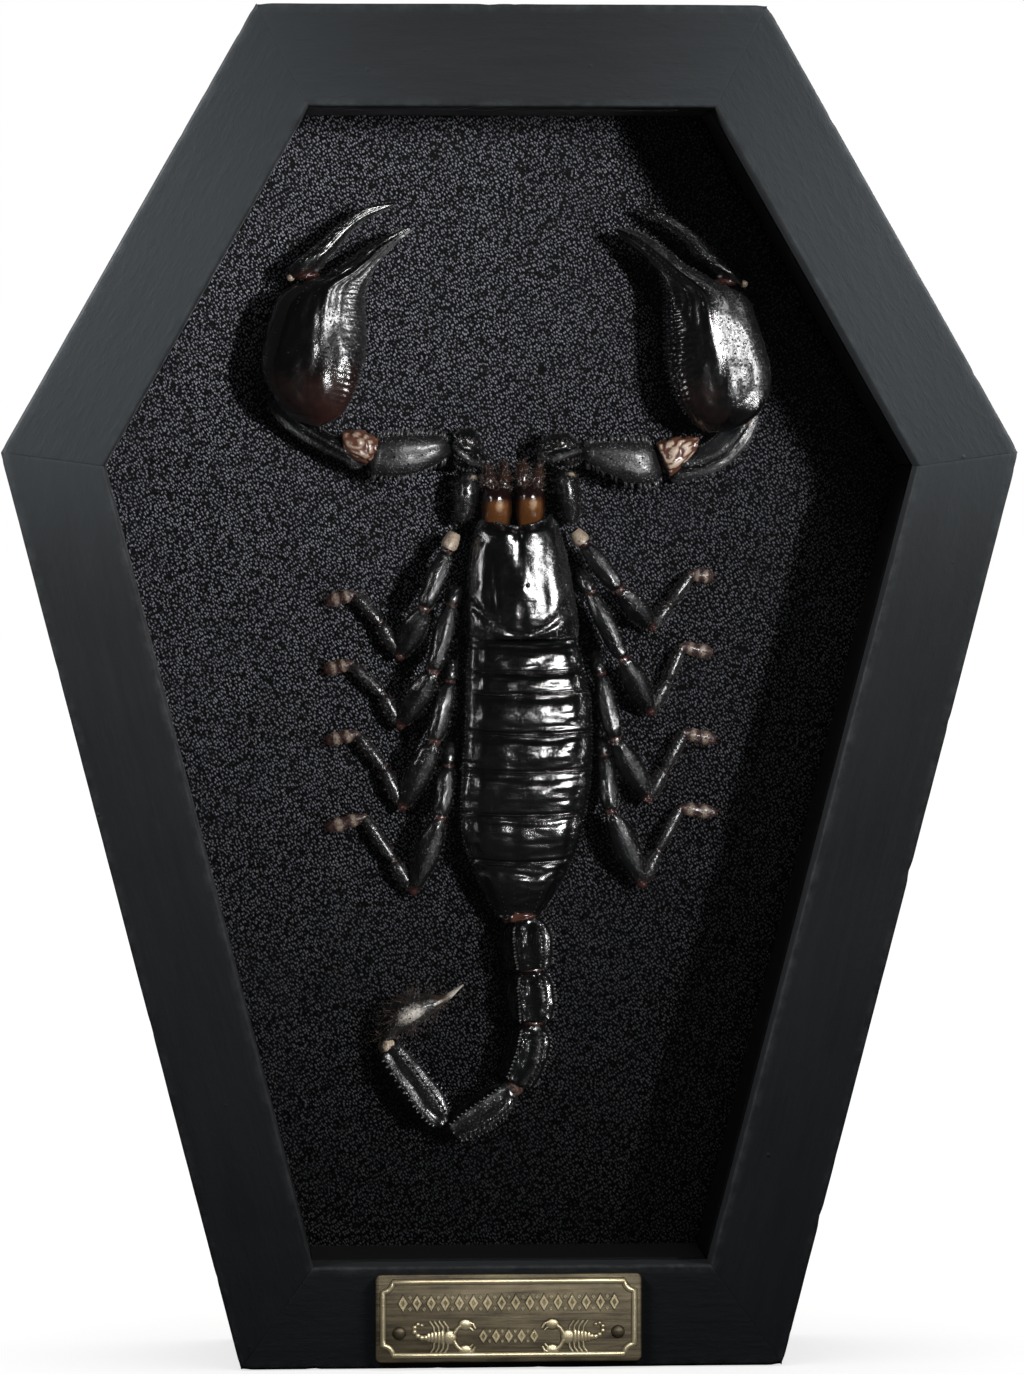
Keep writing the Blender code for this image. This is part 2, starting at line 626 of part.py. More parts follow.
def build_right_pedipalp(cuticle):
    loft("pedipalp_right_coxa", smooth([
        (9.0, 127.4, 11.4, 126.6, 1.2, 5.0),
        (8.0, 130.4, 11.8, 130.2, 0.8, 6.0),
        (7.6, 133.0, 11.4, 132.8, 1.0, 6.0),
        (8.0, 134.6, 10.6, 134.4, 1.6, 5.2),
    ], 2), cuticle, sides=8)
    loft("pedipalp_right_trochanter", smooth([
        (5.2, 138.6, 5.2, 136.6, 2.0, 5.4),
        (7.2, 140.3, 7.4, 135.4, 1.2, 7.0),
        (9.8, 140.4, 10.2, 135.2, 1.4, 7.0),
        (11.5, 138.8, 11.6, 135.8, 2.2, 5.8),
    ], 2), cuticle, sides=8)
    femur = smooth([
        (12.0, 138.0, 12.1, 136.2, 2.4, 5.6),
        (13.6, 138.8, 13.6, 135.4, 1.4, 7.4),
        (16.6, 139.1, 16.6, 133.8, 0.9, 8.2),
        (19.6, 139.1, 20.2, 132.6, 0.9, 8.4),
        (21.7, 139.0, 23.0, 132.8, 1.2, 7.6),
        (22.6, 138.2, 24.1, 133.8, 2.0, 6.2),
    ], 4)
    loft("pedipalp_right_femur", toothed(femur, 0.45, 0.45), cuticle)
    loft("pedipalp_right_patella", smooth([
        (23.1, 138.7, 24.6, 134.2, 2.2, 5.2),
        (25.6, 138.7, 25.6, 133.9, 1.6, 5.4),
        (28.2, 138.3, 26.6, 133.2, 0.9, 6.6),
        (30.2, 138.4, 30.0, 133.8, 0.8, 6.0),
        (32.2, 139.6, 34.0, 135.3, 0.8, 4.4),
        (34.2, 141.4, 37.4, 138.8, 0.8, 4.2),
        (36.2, 144.0, 39.3, 142.8, 1.0, 3.8),
    ], 2), cuticle, sides=8)
    loft("pedipalp_right_hand", smooth([
        (30.2, 140.6, 34.8, 140.8, 5.0, 8.0),
        (28.3, 142.4, 37.4, 142.2, 4.9, 9.8),
        (26.4, 145.0, 39.8, 145.2, 4.7, 11.0),
        (25.1, 148.8, 40.7, 149.0, 2.6, 11.4),
        (24.5, 153.4, 39.9, 153.6, 1.2, 11.2),
        (24.3, 158.0, 38.5, 158.2, 1.2, 10.2),
        (24.3, 161.6, 36.9, 161.2, 1.6, 8.8),
        (23.5, 164.2, 31.2, 164.2, 2.4, 7.6),
        (22.1, 166.0, 27.4, 166.4, 2.8, 7.2),
        (20.3, 168.0, 24.4, 168.8, 3.2, 6.8),
        (18.3, 169.8, 20.8, 171.0, 3.8, 6.2),
        (17.0, 171.2, 17.6, 171.7, 4.4, 5.6),
    ], 2), cuticle, sides=12)
    loft("pedipalp_right_finger", smooth([
        (31.4, 165.3, 37.2, 162.5, 2.6, 6.6),
        (30.4, 166.5, 36.1, 164.3, 2.2, 7.4),
        (29.0, 167.9, 33.0, 167.1, 2.4, 7.0),
        (27.9, 169.5, 31.0, 169.3, 2.8, 6.6),
        (26.3, 171.1, 28.6, 171.5, 3.2, 6.2),
        (23.6, 172.9, 24.9, 173.9, 3.6, 5.8),
        (21.2, 174.7, 21.5, 175.2, 4.2, 5.2),
    ], 2), cuticle, sides=8)


# Each tail segment: x, z and half width from its front to its rear end, with its top height.
TAIL = (
    ((2.8, 65.6, 2.6), (3.2, 63.4, 3.6), (3.5, 60.6, 3.7), (3.7, 58.3, 3.2), 7.6),
    ((3.7, 57.6, 2.6), (3.8, 55.6, 3.3), (4.0, 52.6, 3.4), (4.0, 50.2, 2.9), 7.2),
    ((3.9, 49.4, 2.4), (3.8, 47.0, 2.9), (2.9, 43.6, 3.0), (1.7, 40.8, 2.6), 7.0),
    ((0.8, 39.4, 2.0), (-1.6, 37.5, 2.5), (-5.0, 35.1, 2.6), (-8.0, 33.0, 1.5), 6.6),
    ((-9.6, 34.4, 1.5), (-11.4, 36.6, 2.5), (-14.8, 41.2, 2.5), (-17.9, 45.6, 1.9), 6.4),
)


def build_tail(cuticle, horn):
    for number, (*stations, high) in enumerate(TAIL, 1):
        points = []
        for i, (x, z, half) in enumerate(stations):
            trim = 0.82 if i in (0, 3) else 1.0
            thick = (high - 1.0) / 2 * trim
            points.append((x, z, 1.0 + (high - 1.0) / 2, half, thick))
        rows = keeled(smooth(limb_rows(points), 3), 0.3)
        loft("tail_segment_" + str(number), rows, cuticle)
    telson = [
        (-18.4, 46.9, 3.6, 1.0, 1.2), (-18.0, 48.3, 3.8, 1.2, 1.7), (-16.8, 50.3, 4.0, 2.3, 2.6),
        (-14.4, 51.8, 4.0, 2.6, 2.8), (-11.7, 52.7, 4.0, 1.9, 2.2), (-9.9, 53.2, 4.0, 1.1, 1.3),
        (-8.3, 54.1, 3.8, 0.6, 0.7), (-6.5, 55.5, 3.2, 0.2, 0.2),
    ]
    loft("telson", smooth(limb_rows(telson), 2), horn, sides=8)


clear_scene()
parts = new_collection("framed scorpion")
cutters = new_collection("cutters")
build_frame()
rear = build_layers()
build_tabs(rear)
build_hanger(rear)
build_plate()
black_cuticle = material("black cuticle", (0.012, 0.012, 0.013), 0.25)
amber_cuticle = material("amber cuticle", (0.2, 0.08, 0.02), 0.3)
telson_horn = material("telson horn", (0.1, 0.08, 0.06), 0.35)
build_trunk(black_cuticle, amber_cuticle)
build_left_pedipalp(black_cuticle)
build_right_pedipalp(black_cuticle)
build_legs(black_cuticle)
build_tail(black_cuticle, telson_horn)
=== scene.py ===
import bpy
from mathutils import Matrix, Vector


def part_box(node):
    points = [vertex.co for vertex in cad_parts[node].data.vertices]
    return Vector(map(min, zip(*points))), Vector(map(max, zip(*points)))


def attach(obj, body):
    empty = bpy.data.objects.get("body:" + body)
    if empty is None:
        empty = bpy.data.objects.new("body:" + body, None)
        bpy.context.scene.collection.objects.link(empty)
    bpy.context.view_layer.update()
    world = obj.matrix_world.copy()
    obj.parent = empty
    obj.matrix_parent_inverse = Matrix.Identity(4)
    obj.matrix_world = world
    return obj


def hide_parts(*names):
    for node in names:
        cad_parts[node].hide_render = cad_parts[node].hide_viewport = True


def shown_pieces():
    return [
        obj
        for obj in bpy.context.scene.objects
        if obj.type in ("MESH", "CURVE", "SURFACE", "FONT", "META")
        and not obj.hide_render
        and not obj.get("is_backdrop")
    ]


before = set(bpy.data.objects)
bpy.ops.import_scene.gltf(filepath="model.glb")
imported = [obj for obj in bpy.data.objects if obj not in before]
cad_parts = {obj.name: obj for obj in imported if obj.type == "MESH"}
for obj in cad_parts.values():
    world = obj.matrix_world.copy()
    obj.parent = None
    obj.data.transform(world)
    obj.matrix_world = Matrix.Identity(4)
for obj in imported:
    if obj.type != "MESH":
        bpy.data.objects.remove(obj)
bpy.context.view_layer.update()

import math
import random

import bmesh
import bpy
from mathutils import Vector, noise

mm = 0.001
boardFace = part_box("leatherette_board")[0].y / mm  # the leatherette's surface
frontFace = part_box("frame_top")[0].y / mm  # the bars' front
print("frame loaded, board face at", round(boardFace, 2))


# A node's output on which Python's arithmetic works by adding Math nodes.
class Wire:
    def __init__(self, board, socket):
        self.board = board
        self.socket = socket

    def out(self, name):
        return Wire(self.board, self.socket.node.outputs[name])

    def maths(self, operation, first, second):
        return self.board.node("ShaderNodeMath", {"operation": operation}, {0: first, 1: second})

    def __add__(self, other):
        return self.maths("ADD", self, other)

    def __radd__(self, other):
        return self.maths("ADD", other, self)

    def __sub__(self, other):
        return self.maths("SUBTRACT", self, other)

    def __rsub__(self, other):
        return self.maths("SUBTRACT", other, self)

    def __mul__(self, other):
        return self.maths("MULTIPLY", self, other)

    def __rmul__(self, other):
        return self.maths("MULTIPLY", other, self)

    def lower(self, other):
        return self.maths("MINIMUM", self, other)

    def higher(self, other):
        return self.maths("MAXIMUM", self, other)


# A node tree, of a finish or of a shape, filled node by node.
class Board:
    def __init__(self, tree):
        self.tree = tree

    def node(self, kind, settings=None, inputs=None):
        made = self.tree.nodes.new(kind)
        for name, value in (settings or {}).items():
            if name == "stops":
                for stop in made.color_ramp.elements[1:]:
                    made.color_ramp.elements.remove(stop)
                for i, (place, tone) in enumerate(value):
                    ramp = made.color_ramp.elements
                    stop = ramp.new(place) if i else ramp[0]
                    stop.position = place
                    stop.color = (tone, tone, tone, 1.0)
            else:
                setattr(made, name, value)
        for name, value in (inputs or {}).items():
            socket = made.inputs[name]
            if isinstance(value, Wire):
                self.tree.links.new(value.socket, socket)
            elif socket.type == "RGBA" and len(value) == 3:
                socket.default_value = (*value, 1.0)
            else:
                socket.default_value = value
        return Wire(self, made.outputs[0]) if made.outputs else made


# A material: its own nodes, with the few that every finish here uses.
class Finish(Board):
    def __init__(self, name):
        self.material = bpy.data.materials.new(name)
        self.material.use_nodes = True
        super().__init__(self.material.node_tree)
        self.shader = self.tree.nodes["Principled BSDF"]

    def place(self, stretch=(1, 1, 1), turn=(0, 0, 0)):
        # object coordinates in millimetres
        there = self.node("ShaderNodeTexCoord").out("Object")
        scale = [s / mm for s in stretch]
        return self.node("ShaderNodeMapping", {}, {"Vector": there, "Rotation": turn, "Scale": scale})

    def attribute(self, name, output="Fac"):
        return self.node("ShaderNodeAttribute", {"attribute_name": name}).out(output)

    def noise(self, vector, size, detail=3.0, rough=0.55, twist=0.0):
        return self.node("ShaderNodeTexNoise", {}, {
            "Vector": vector, "Scale": 1.0 / size, "Detail": detail,
            "Roughness": rough, "Distortion": twist,
        })

    def cells(self, vector, scale, randomness=1.0):
        # how far the nearest of scattered points is
        return self.node("ShaderNodeTexVoronoi", {"feature": "F1"}, {
            "Vector": vector, "Scale": scale, "Randomness": randomness,
        }).out("Distance")

    def ramp(self, value, *stops):
        return self.node("ShaderNodeValToRGB", {"stops": stops}, {"Fac": value})

    def blend(self, factor, first, second):
        mixed = self.node(
            "ShaderNodeMix", {"data_type": "RGBA"}, {0: factor, 6: first, 7: second}
        )
        return Wire(self, mixed.socket.node.outputs[2])

    def stretched(self, vector, factors):
        return self.node("ShaderNodeVectorMath", {"operation": "MULTIPLY"}, {0: vector, 1: factors})

    def bump(self, height, depth, under=None):
        # height from 0 to 1 stands for the depth in millimetres
        inputs = {"Height": height, "Distance": depth * mm, "Strength": 1.0}
        if under:
            inputs["Normal"] = under
        return self.node("ShaderNodeBump", {}, inputs)

    def surface(self, **values):
        for name, value in values.items():
            socket = self.shader.inputs[name.replace("_", " ")]
            if isinstance(value, Wire):
                self.tree.links.new(value.socket, socket)
            elif socket.type == "RGBA":
                socket.default_value = (*value, 1.0)
            else:
                socket.default_value = value
        return self.material


paint = {"black": (0.0125, 0.0146, 0.0162), "thin": (0.0270, 0.0310, 0.0340),
         "worn": (0.060, 0.066, 0.070), "rough": 0.62,
         # how deep each pattern stands, in mm
         "brushed": 0.05, "lumps": 0.03, "grit": 0.016, "nib": 0.12}


def paintFinish():
    # brushed along each bar, which carries its run in an attribute; the shade attribute masks a painted
    # light that makes the upper bars lighter
    f = Finish("black brushed paint")
    run = f.attribute("run", "Vector")  # along, across and depth, in mm
    edge = f.attribute("edge")
    hairs = f.noise(f.stretched(run, (0.10, 2.2, 2.2)), 1.0, 5.0, 0.7)
    strokes = f.noise(f.stretched(run, (0.05, 0.42, 0.42)), 1.0, 4.0, 0.6, 0.6)
    lumps = f.noise(f.stretched(run, (0.45, 1.0, 1.0)), 1.1, 4.0, 0.6)
    cloud = f.noise(run, 22.0, 2.0)
    grit = f.noise(run, 0.22, 2.0)
    nib = f.ramp(f.cells(run, 0.115), (0.0, 1.0), (0.045, 0.0))
    tone = 0.35 * strokes + 0.35 * hairs + 0.3 * cloud
    colour = f.blend(f.ramp(tone, (0.3, 0.0), (0.7, 1.0)), paint["black"],
                     [1.9 * c for c in paint["black"]])
    # painted light: the lighter tone called thin is laid where the shade attribute is high
    thin = f.blend(tone, paint["thin"], [1.5 * c for c in paint["thin"]])
    colour = f.blend(f.attribute("shade"), colour, thin)
    rubbed = edge * f.ramp(f.noise(run, 2.6, 5.0, 0.7), (0.42, 0.0), (0.68, 1.0))
    colour = f.blend(rubbed * 0.8, colour, paint["worn"])
    rough = paint["rough"] + 0.10 * (hairs - 0.5) + 0.12 * (strokes - 0.5) - 0.05 * rubbed
    normal = f.bump(0.55 * hairs + 0.45 * strokes, paint["brushed"])
    normal = f.bump(f.ramp(lumps, (0.45, 0.0), (0.75, 1.0)), paint["lumps"], normal)
    normal = f.bump(grit, paint["grit"], normal)
    normal = f.bump(nib, paint["nib"], normal)
    return f.surface(Base_Color=colour, Roughness=rough, Normal=normal, Specular_IOR_Level=0.35)


leather = {"dark": (0.0008, 0.0008, 0.0011), "high": (0.225, 0.225, 0.258), "pebble": 0.37,
           "lean": -60.0, "stretch": 0.66, "disorder": 0.66, "depth": 0.16, "rough": 0.42, "shine": 0.06}


def leatherFinish():
    # beads a little longer than wide, leaning from upper left to lower right
    f = Finish("black pebbled leatherette")
    lean = (0.0, math.radians(leather["lean"]), 0.0)
    spot = f.place((1.0, 1.0, 1.0), lean)
    warp = f.node("ShaderNodeTexNoise", {}, {"Vector": spot, "Scale": 0.7, "Detail": 1.0})
    spread = f.node("ShaderNodeVectorMath", {"operation": "SCALE"}, {0: warp.out("Color"), "Scale": 0.45})
    bent = f.node("ShaderNodeVectorMath", {"operation": "ADD"}, {0: spot, 1: spread})
    bent = f.stretched(bent, (leather["stretch"], 1.0, 1.0))
    pebbles = f.cells(bent, 1.0 / leather["pebble"], leather["disorder"])
    dome = f.ramp(pebbles, (0.0, 1.0), (0.22, 0.86), (0.42, 0.38), (0.62, 0.0))
    fine = f.noise(spot, 0.09, 3.0)
    patch = f.noise(spot, 5.0, 3.0)
    each = f.noise(bent, 0.8, 1.0)
    height = dome * (0.84 + 0.32 * each)
    # painted highlight and shade: the tops of the beads are coloured light and the gaps between them near
    # black
    lit = f.ramp(height, (0.30, 0.0), (0.60, 0.36), (0.95, 1.0))
    colour = f.blend(lit, leather["dark"], leather["high"])
    colour = f.blend(0.45 * patch, colour, leather["dark"])
    rough = leather["rough"] + 0.12 * (fine - 0.5) + 0.10 * (1 - height)
    normal = f.bump(height, leather["depth"])
    return f.surface(Base_Color=colour, Roughness=rough, Normal=normal,
                     Specular_IOR_Level=leather["shine"])


def paneFinish():
    # hardly seen from the front, and a mirror along its face
    f = Finish("clear pane")
    facing = f.node("ShaderNodeLayerWeight", {}, {"Blend": 0.35}).out("Fresnel")
    smear = f.noise(f.place(), 30.0, 3.0)
    return f.surface(
        Base_Color=(0.01, 0.012, 0.012), Roughness=0.015 + 0.02 * smear,
        Alpha=(0.006 + 0.22 * facing).lower(1.0), IOR=1.5,
    )


card = {"dark": (0.030, 0.030, 0.033), "light": (0.070, 0.069, 0.071)}


def cardFinish():
    f = Finish("black spacer card")
    fibre = f.noise(f.place((0.25, 3.0, 3.0)), 1.0, 4.0)
    colour = f.blend(fibre, card["dark"], card["light"])
    return f.surface(Base_Color=colour, Roughness=0.55 + 0.1 * fibre, Normal=f.bump(fibre, 0.03))


hardboard = {"dark": (0.115, 0.062, 0.030), "light": (0.33, 0.205, 0.115),
             "fleck": (0.07, 0.038, 0.02), "stain": (0.20, 0.125, 0.07)}


def hardboardFinish():
    # pressed fibres with darker flecks
    f = Finish("brown hardboard")
    spot = f.place()
    fibre = f.noise(f.place((0.6, 1.0, 2.4), (0.0, 0.6, 0.0)), 0.5, 6.0, 0.7, 1.2)
    cross = f.noise(f.place((2.4, 1.0, 0.6), (0.0, 0.5, 0.0)), 0.55, 6.0, 0.7, 1.2)
    fleck = f.ramp(f.noise(spot, 1.1, 2.0), (0.62, 0.0), (0.70, 1.0))
    stain = f.noise(spot, 40.0, 3.0)
    colour = f.blend(0.5 * fibre + 0.5 * cross, hardboard["dark"], hardboard["light"])
    colour = f.blend(0.55 * fleck, colour, hardboard["fleck"])
    colour = f.blend(0.4 * stain, colour, hardboard["stain"])
    rough = 0.68 + 0.2 * fibre
    return f.surface(Base_Color=colour, Roughness=rough, Normal=f.bump(fibre + cross, 0.05))


# each metal: its name, its bright and dull colours, and its roughness
metals = {"zinc": ("zinc plated steel", (0.56, 0.57, 0.58), (0.33, 0.34, 0.35), 0.34),
          "hanger": ("brassed steel", (0.60, 0.45, 0.20), (0.36, 0.26, 0.12), 0.30)}


def metalFinish(name, light, dark, rough):
    # rolled metal with fine scratches and duller spots
    f = Finish(name)
    scratch = f.noise(f.place((8.0, 1.0, 1.0)), 1.2, 5.0, 0.7)
    dull = f.ramp(f.noise(f.place(), 2.3, 4.0, 0.6), (0.38, 0.0), (0.72, 1.0))
    colour = f.blend(dull, light, dark)
    roughness = rough + 0.12 * (scratch - 0.5) + 0.2 * dull
    normal = f.bump(scratch, 0.006)
    return f.surface(Base_Color=colour, Metallic=1.0, Roughness=roughness, Normal=normal)


brass = {"ground": ((0.045, 0.037, 0.024), (0.205, 0.165, 0.100)), "speck": (0.035, 0.030, 0.020),
         "rubbed": ((0.60, 0.50, 0.30), (0.92, 0.80, 0.53)), "rough": 0.46, "metallic": 0.7}


def plateFinish(face, rise):
    # dark in the low ground, rubbed bright on whatever stands up, brushed along its length
    f = Finish("antique brass")
    spot = f.place()
    depth = f.node("ShaderNodeSeparateXYZ", {}, {0: spot}).out("Y")
    lift = (face - depth) * (1.0 / rise) - 1.3 * f.attribute("dust")
    brushed = f.noise(f.place((0.10, 1.0, 2.4)), 1.0, 5.0, 0.65)
    worn = f.noise(f.place((0.4, 1.0, 0.8)), 2.6, 4.0, 0.6)
    speck = f.noise(spot, 0.20, 3.0, 0.7)
    high = f.ramp(lift + 0.5 * (worn - 0.5), (0.18, 0.0), (0.60, 1.0))
    streaks = f.ramp(0.6 * brushed + 0.4 * worn, (0.36, 0.0), (0.64, 1.0))
    ground = f.blend(streaks, *brass["ground"])
    ground = f.blend(f.ramp(speck, (0.60, 0.0), (0.72, 0.8)), ground, brass["speck"])
    rubbed = f.blend(f.ramp(worn, (0.3, 0.0), (0.75, 1.0)), *brass["rubbed"])
    colour = f.blend(high, ground, rubbed)
    rough = brass["rough"] - 0.12 * high + 0.22 * (speck - 0.5)
    normal = f.bump(brushed, 0.02)
    normal = f.bump(speck, 0.025, normal)
    return f.surface(Base_Color=colour, Metallic=brass["metallic"], Roughness=rough, Normal=normal)


# each cuticle: its name, its deep, red-brown and pale colours, its roughness and its coat
cuticles = {
    "black": ("black cuticle", (0.0012, 0.0012, 0.0013), (0.028, 0.0090, 0.0068),
              (0.32, 0.250, 0.185), 0.18, 0.2),
    "amber": ("amber cuticle", (0.0060, 0.0022, 0.0020), (0.082, 0.030, 0.0085),
              (0.30, 0.200, 0.120), 0.14, 0.4),
    "horn": ("horn of the telson", (0.0070, 0.0058, 0.0046), (0.070, 0.042, 0.022),
             (0.42, 0.39, 0.34), 0.30, 0.1),
    "membrane": ("joint membrane", (0.018, 0.007, 0.005), (0.070, 0.028, 0.017),
                 (0.30, 0.225, 0.170), 0.20, 0.5),
}
# dust and painted light on the cuticle: the grey of dust and painted sheen, and the pale of painted
# highlights; and how deep each pattern stands in mm
cuticle = {"dust": ((0.008, 0.008, 0.009), (0.040, 0.040, 0.042)), "paintedHighlight": (0.34, 0.34, 0.35),
           "blotch": 0.085, "mottle": 0.06, "dots": 0.13, "pits": 0.012}


def cuticleFinish(name, dark, warm, pale, rough, coat):
    # chitin: a deep gloss over a tint that thins to red-brown and tan at the joints
    f = Finish(name)
    spot = f.place()
    warmth = f.attribute("warm")
    paleness = f.attribute("pale")
    dust = f.attribute("dust")
    granular = f.attribute("grain")
    blotch = f.noise(spot, 1.7, 4.0, 0.6, 0.4)
    mottle = f.noise(spot, 0.42, 4.0, 0.6)
    pits = f.ramp(f.cells(spot, 1.9), (0.0, 1.0), (0.16, 0.0))
    dots = f.ramp(f.cells(spot, 2.5), (0.0, 1.0), (0.20, 0.75), (0.46, 0.0))
    colour = f.blend(f.ramp(warmth + 0.5 * (blotch - 0.5), (0.12, 0.0), (0.85, 1.0)), dark, warm)
    colour = f.blend(f.ramp(paleness + 0.9 * (mottle - 0.5), (0.25, 0.0), (0.85, 1.0)), colour, pale)
    # this attribute greys the chitin, as dust and as painted sheen; where it passes 1 it paints the pale of
    # painted highlights
    haze = f.ramp(dust * (0.45 + 1.1 * mottle), (0.12, 0.0), (0.95, 1.0))
    paintedHighlight = f.ramp(dust, (1.0, 0.0), (1.7, 1.0))
    colour = f.blend(haze, colour, f.blend(dots, *cuticle["dust"]))
    colour = f.blend(paintedHighlight, colour, cuticle["paintedHighlight"])
    rough = (rough + 0.10 * (blotch - 0.5) + 0.14 * (mottle - 0.5) + 0.25 * paleness
             + 0.10 * warmth + 0.26 * haze).higher(0.06)
    normal = f.bump(blotch, cuticle["blotch"])
    normal = f.bump(mottle * (0.25 + 0.75 * granular).lower(1.0), cuticle["mottle"], normal)
    normal = f.bump(dots * (0.02 + 0.98 * granular).lower(1.0), cuticle["dots"], normal)
    normal = f.bump(1 - pits, cuticle["pits"], normal)
    return f.surface(
        Base_Color=colour, Roughness=rough, Normal=normal, Coat_Weight=coat * (1 - paleness),
        Coat_Roughness=0.06, IOR=1.56,
    )


hairColours = ((0.012, 0.006, 0.004), (0.085, 0.058, 0.045))


def hairFinish():
    f = Finish("fine hairs")
    tone = f.noise(f.place(), 0.8, 2.0)
    return f.surface(Base_Color=f.blend(tone, *hairColours), Roughness=0.45 + 0.1 * tone)


finishes = {
    "paint": paintFinish(),
    "leather": leatherFinish(),
    "pane": paneFinish(),
    "card": cardFinish(),
    "hardboard": hardboardFinish(),
    "hair": hairFinish(),
}
finishes.update({kind: metalFinish(*metal) for kind, metal in metals.items()})
finishes.update({kind: cuticleFinish(*skin) for kind, skin in cuticles.items()})
print("finishes made:", len(finishes))


# One mesh in the making. Its tints are read by the finishes, and by the trees that make granules
# and hairs.
tintNames = ("warm", "pale", "dust", "grain", "hairy", "shade")


class Body:
    def __init__(self):
        self.points = []
        self.faces = []
        self.tints = {name: [] for name in tintNames}
        self.extra = {}

    def point(self, spot, tint=None):
        self.points.append(spot)
        for name in tintNames:
            self.tints[name].append((tint or {}).get(name, 0.0))
        return len(self.points) - 1

    def addMesh(self, mesh, tint=None):
        first = len(self.points)
        for vertex in mesh.vertices:
            self.point(vertex.co.copy(), tint)
        for face in mesh.polygons:
            self.faces.append([first + i for i in face.vertices])

    def loops(self, rings, tints=None, capped=True):
        # joined rings of points, with one tint for all or a list for each ring
        if not isinstance(tints, list):
            tints = [[tints] * len(rings[0])] * len(rings)
        rows = [[self.point(p, t) for p, t in zip(ring, tint)] for ring, tint in zip(rings, tints)]
        count = len(rows[0])
        for first, second in zip(rows, rows[1:]):
            for k in range(count):
                n = (k + 1) % count
                self.faces.append([first[k], first[n], second[n], second[k]])
        if capped:
            self.faces.append(list(reversed(rows[0])))
            self.faces.append(list(rows[-1]))

    def mesh(self, name, material, sharp=None):
        made = bpy.data.meshes.new(name)
        made.from_pydata([tuple(p) for p in self.points], [], self.faces)
        for tint, values in self.tints.items():
            made.attributes.new(tint, "FLOAT", "POINT").data.foreach_set("value", values)
        for extra, values in self.extra.items():
            flat = [v for value in values for v in value]
            made.attributes.new(extra, "FLOAT_VECTOR", "POINT").data.foreach_set("vector", flat)
        bm = bmesh.new()
        bm.from_mesh(made)
        bmesh.ops.recalc_face_normals(bm, faces=bm.faces)
        bm.to_mesh(made)
        bm.free()
        made.shade_smooth()
        if sharp:
            made.set_sharp_from_angle(angle=math.radians(sharp))
        made.materials.append(material)
        return made

    def piece(self, name, material, slot, replaced=(), sharp=None):
        made = bpy.data.objects.new(name, self.mesh(name, finishes[material], sharp))
        bpy.context.scene.collection.objects.link(made)
        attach(made, "root")
        if replaced:
            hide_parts(*replaced)
        return made


# A shape tree with named inputs, used through a modifier that is then taken off.
class ShapeTree(Board):
    def __init__(self, name, sizes):
        self.group = bpy.data.node_groups.new(name, "GeometryNodeTree")
        super().__init__(self.group)
        sockets = self.group.interface
        sockets.new_socket("Geometry", in_out="OUTPUT", socket_type="NodeSocketGeometry")
        sockets.new_socket("Geometry", in_out="INPUT", socket_type="NodeSocketGeometry")
        self.identifiers = {}
        for label, start in sizes.items():
            kind = "NodeSocketInt" if isinstance(start, int) else "NodeSocketFloat"
            made = sockets.new_socket(label, in_out="INPUT", socket_type=kind)
            made.default_value = start
            self.identifiers[label] = made.identifier
        self.inputs = self.node("NodeGroupInput")
        self.sink = self.tree.nodes.new("NodeGroupOutput")

    def size(self, label):
        return self.inputs.out(label)

    def field(self, name, kind="FLOAT"):
        return self.node("GeometryNodeInputNamedAttribute", {"data_type": kind}, {"Name": name})

    def randomised(self, low, high, seed):
        made = self.node("FunctionNodeRandomValue", {"data_type": "FLOAT"},
                         {2: low, 3: high, "Seed": seed})
        return Wire(self, made.socket.node.outputs[1])

    def close(self, geometry, material):
        whole = self.node("GeometryNodeRealizeInstances", {}, {"Geometry": geometry})
        done = self.node("GeometryNodeSetMaterial", {}, {"Geometry": whole, "Material": material})
        self.tree.links.new(done.socket, self.sink.inputs[0])

    def grow(self, mesh, **sizes):
        # the plain mesh that this tree makes from another one
        guide = bpy.data.objects.new("guide", mesh)
        bpy.context.scene.collection.objects.link(guide)
        step = guide.modifiers.new("shape", "NODES")
        step.node_group = self.group
        for label, value in sizes.items():
            step[self.identifiers[label]] = value
        shaped = guide.evaluated_get(bpy.context.evaluated_depsgraph_get())
        made = bpy.data.meshes.new_from_object(shaped)
        guide.modifiers.remove(step)
        bpy.data.objects.remove(guide, do_unlink=True)
        return made


def studTree():
    # a blunt cone on each point, leaning along its aim
    t = ShapeTree("studs", {"Width": 0.5, "Sides": 6, "Blunt": 0.35})
    points = t.node("GeometryNodeMeshToPoints", {}, {"Mesh": t.inputs.out("Geometry"), "Radius": mm})
    cone = t.node("GeometryNodeMeshCone", {"fill_type": "TRIANGLE_FAN"}, {
        "Vertices": t.size("Sides"), "Side Segments": 2, "Radius Top": t.size("Blunt") * t.size("Width"),
        "Radius Bottom": t.size("Width"), "Depth": 1.25,
    })
    sunk = t.node("GeometryNodeTransform", {}, {"Geometry": cone, "Translation": (0.0, 0.0, -0.25)})
    turned = t.node("FunctionNodeAlignRotationToVector", {"axis": "Z"},
                    {"Vector": t.field("aim", "FLOAT_VECTOR")})
    placed = t.node("GeometryNodeInstanceOnPoints", {}, {
        "Points": points, "Instance": sunk, "Rotation": turned, "Scale": t.field("size"),
    })
    t.close(placed, finishes["black"])
    return t


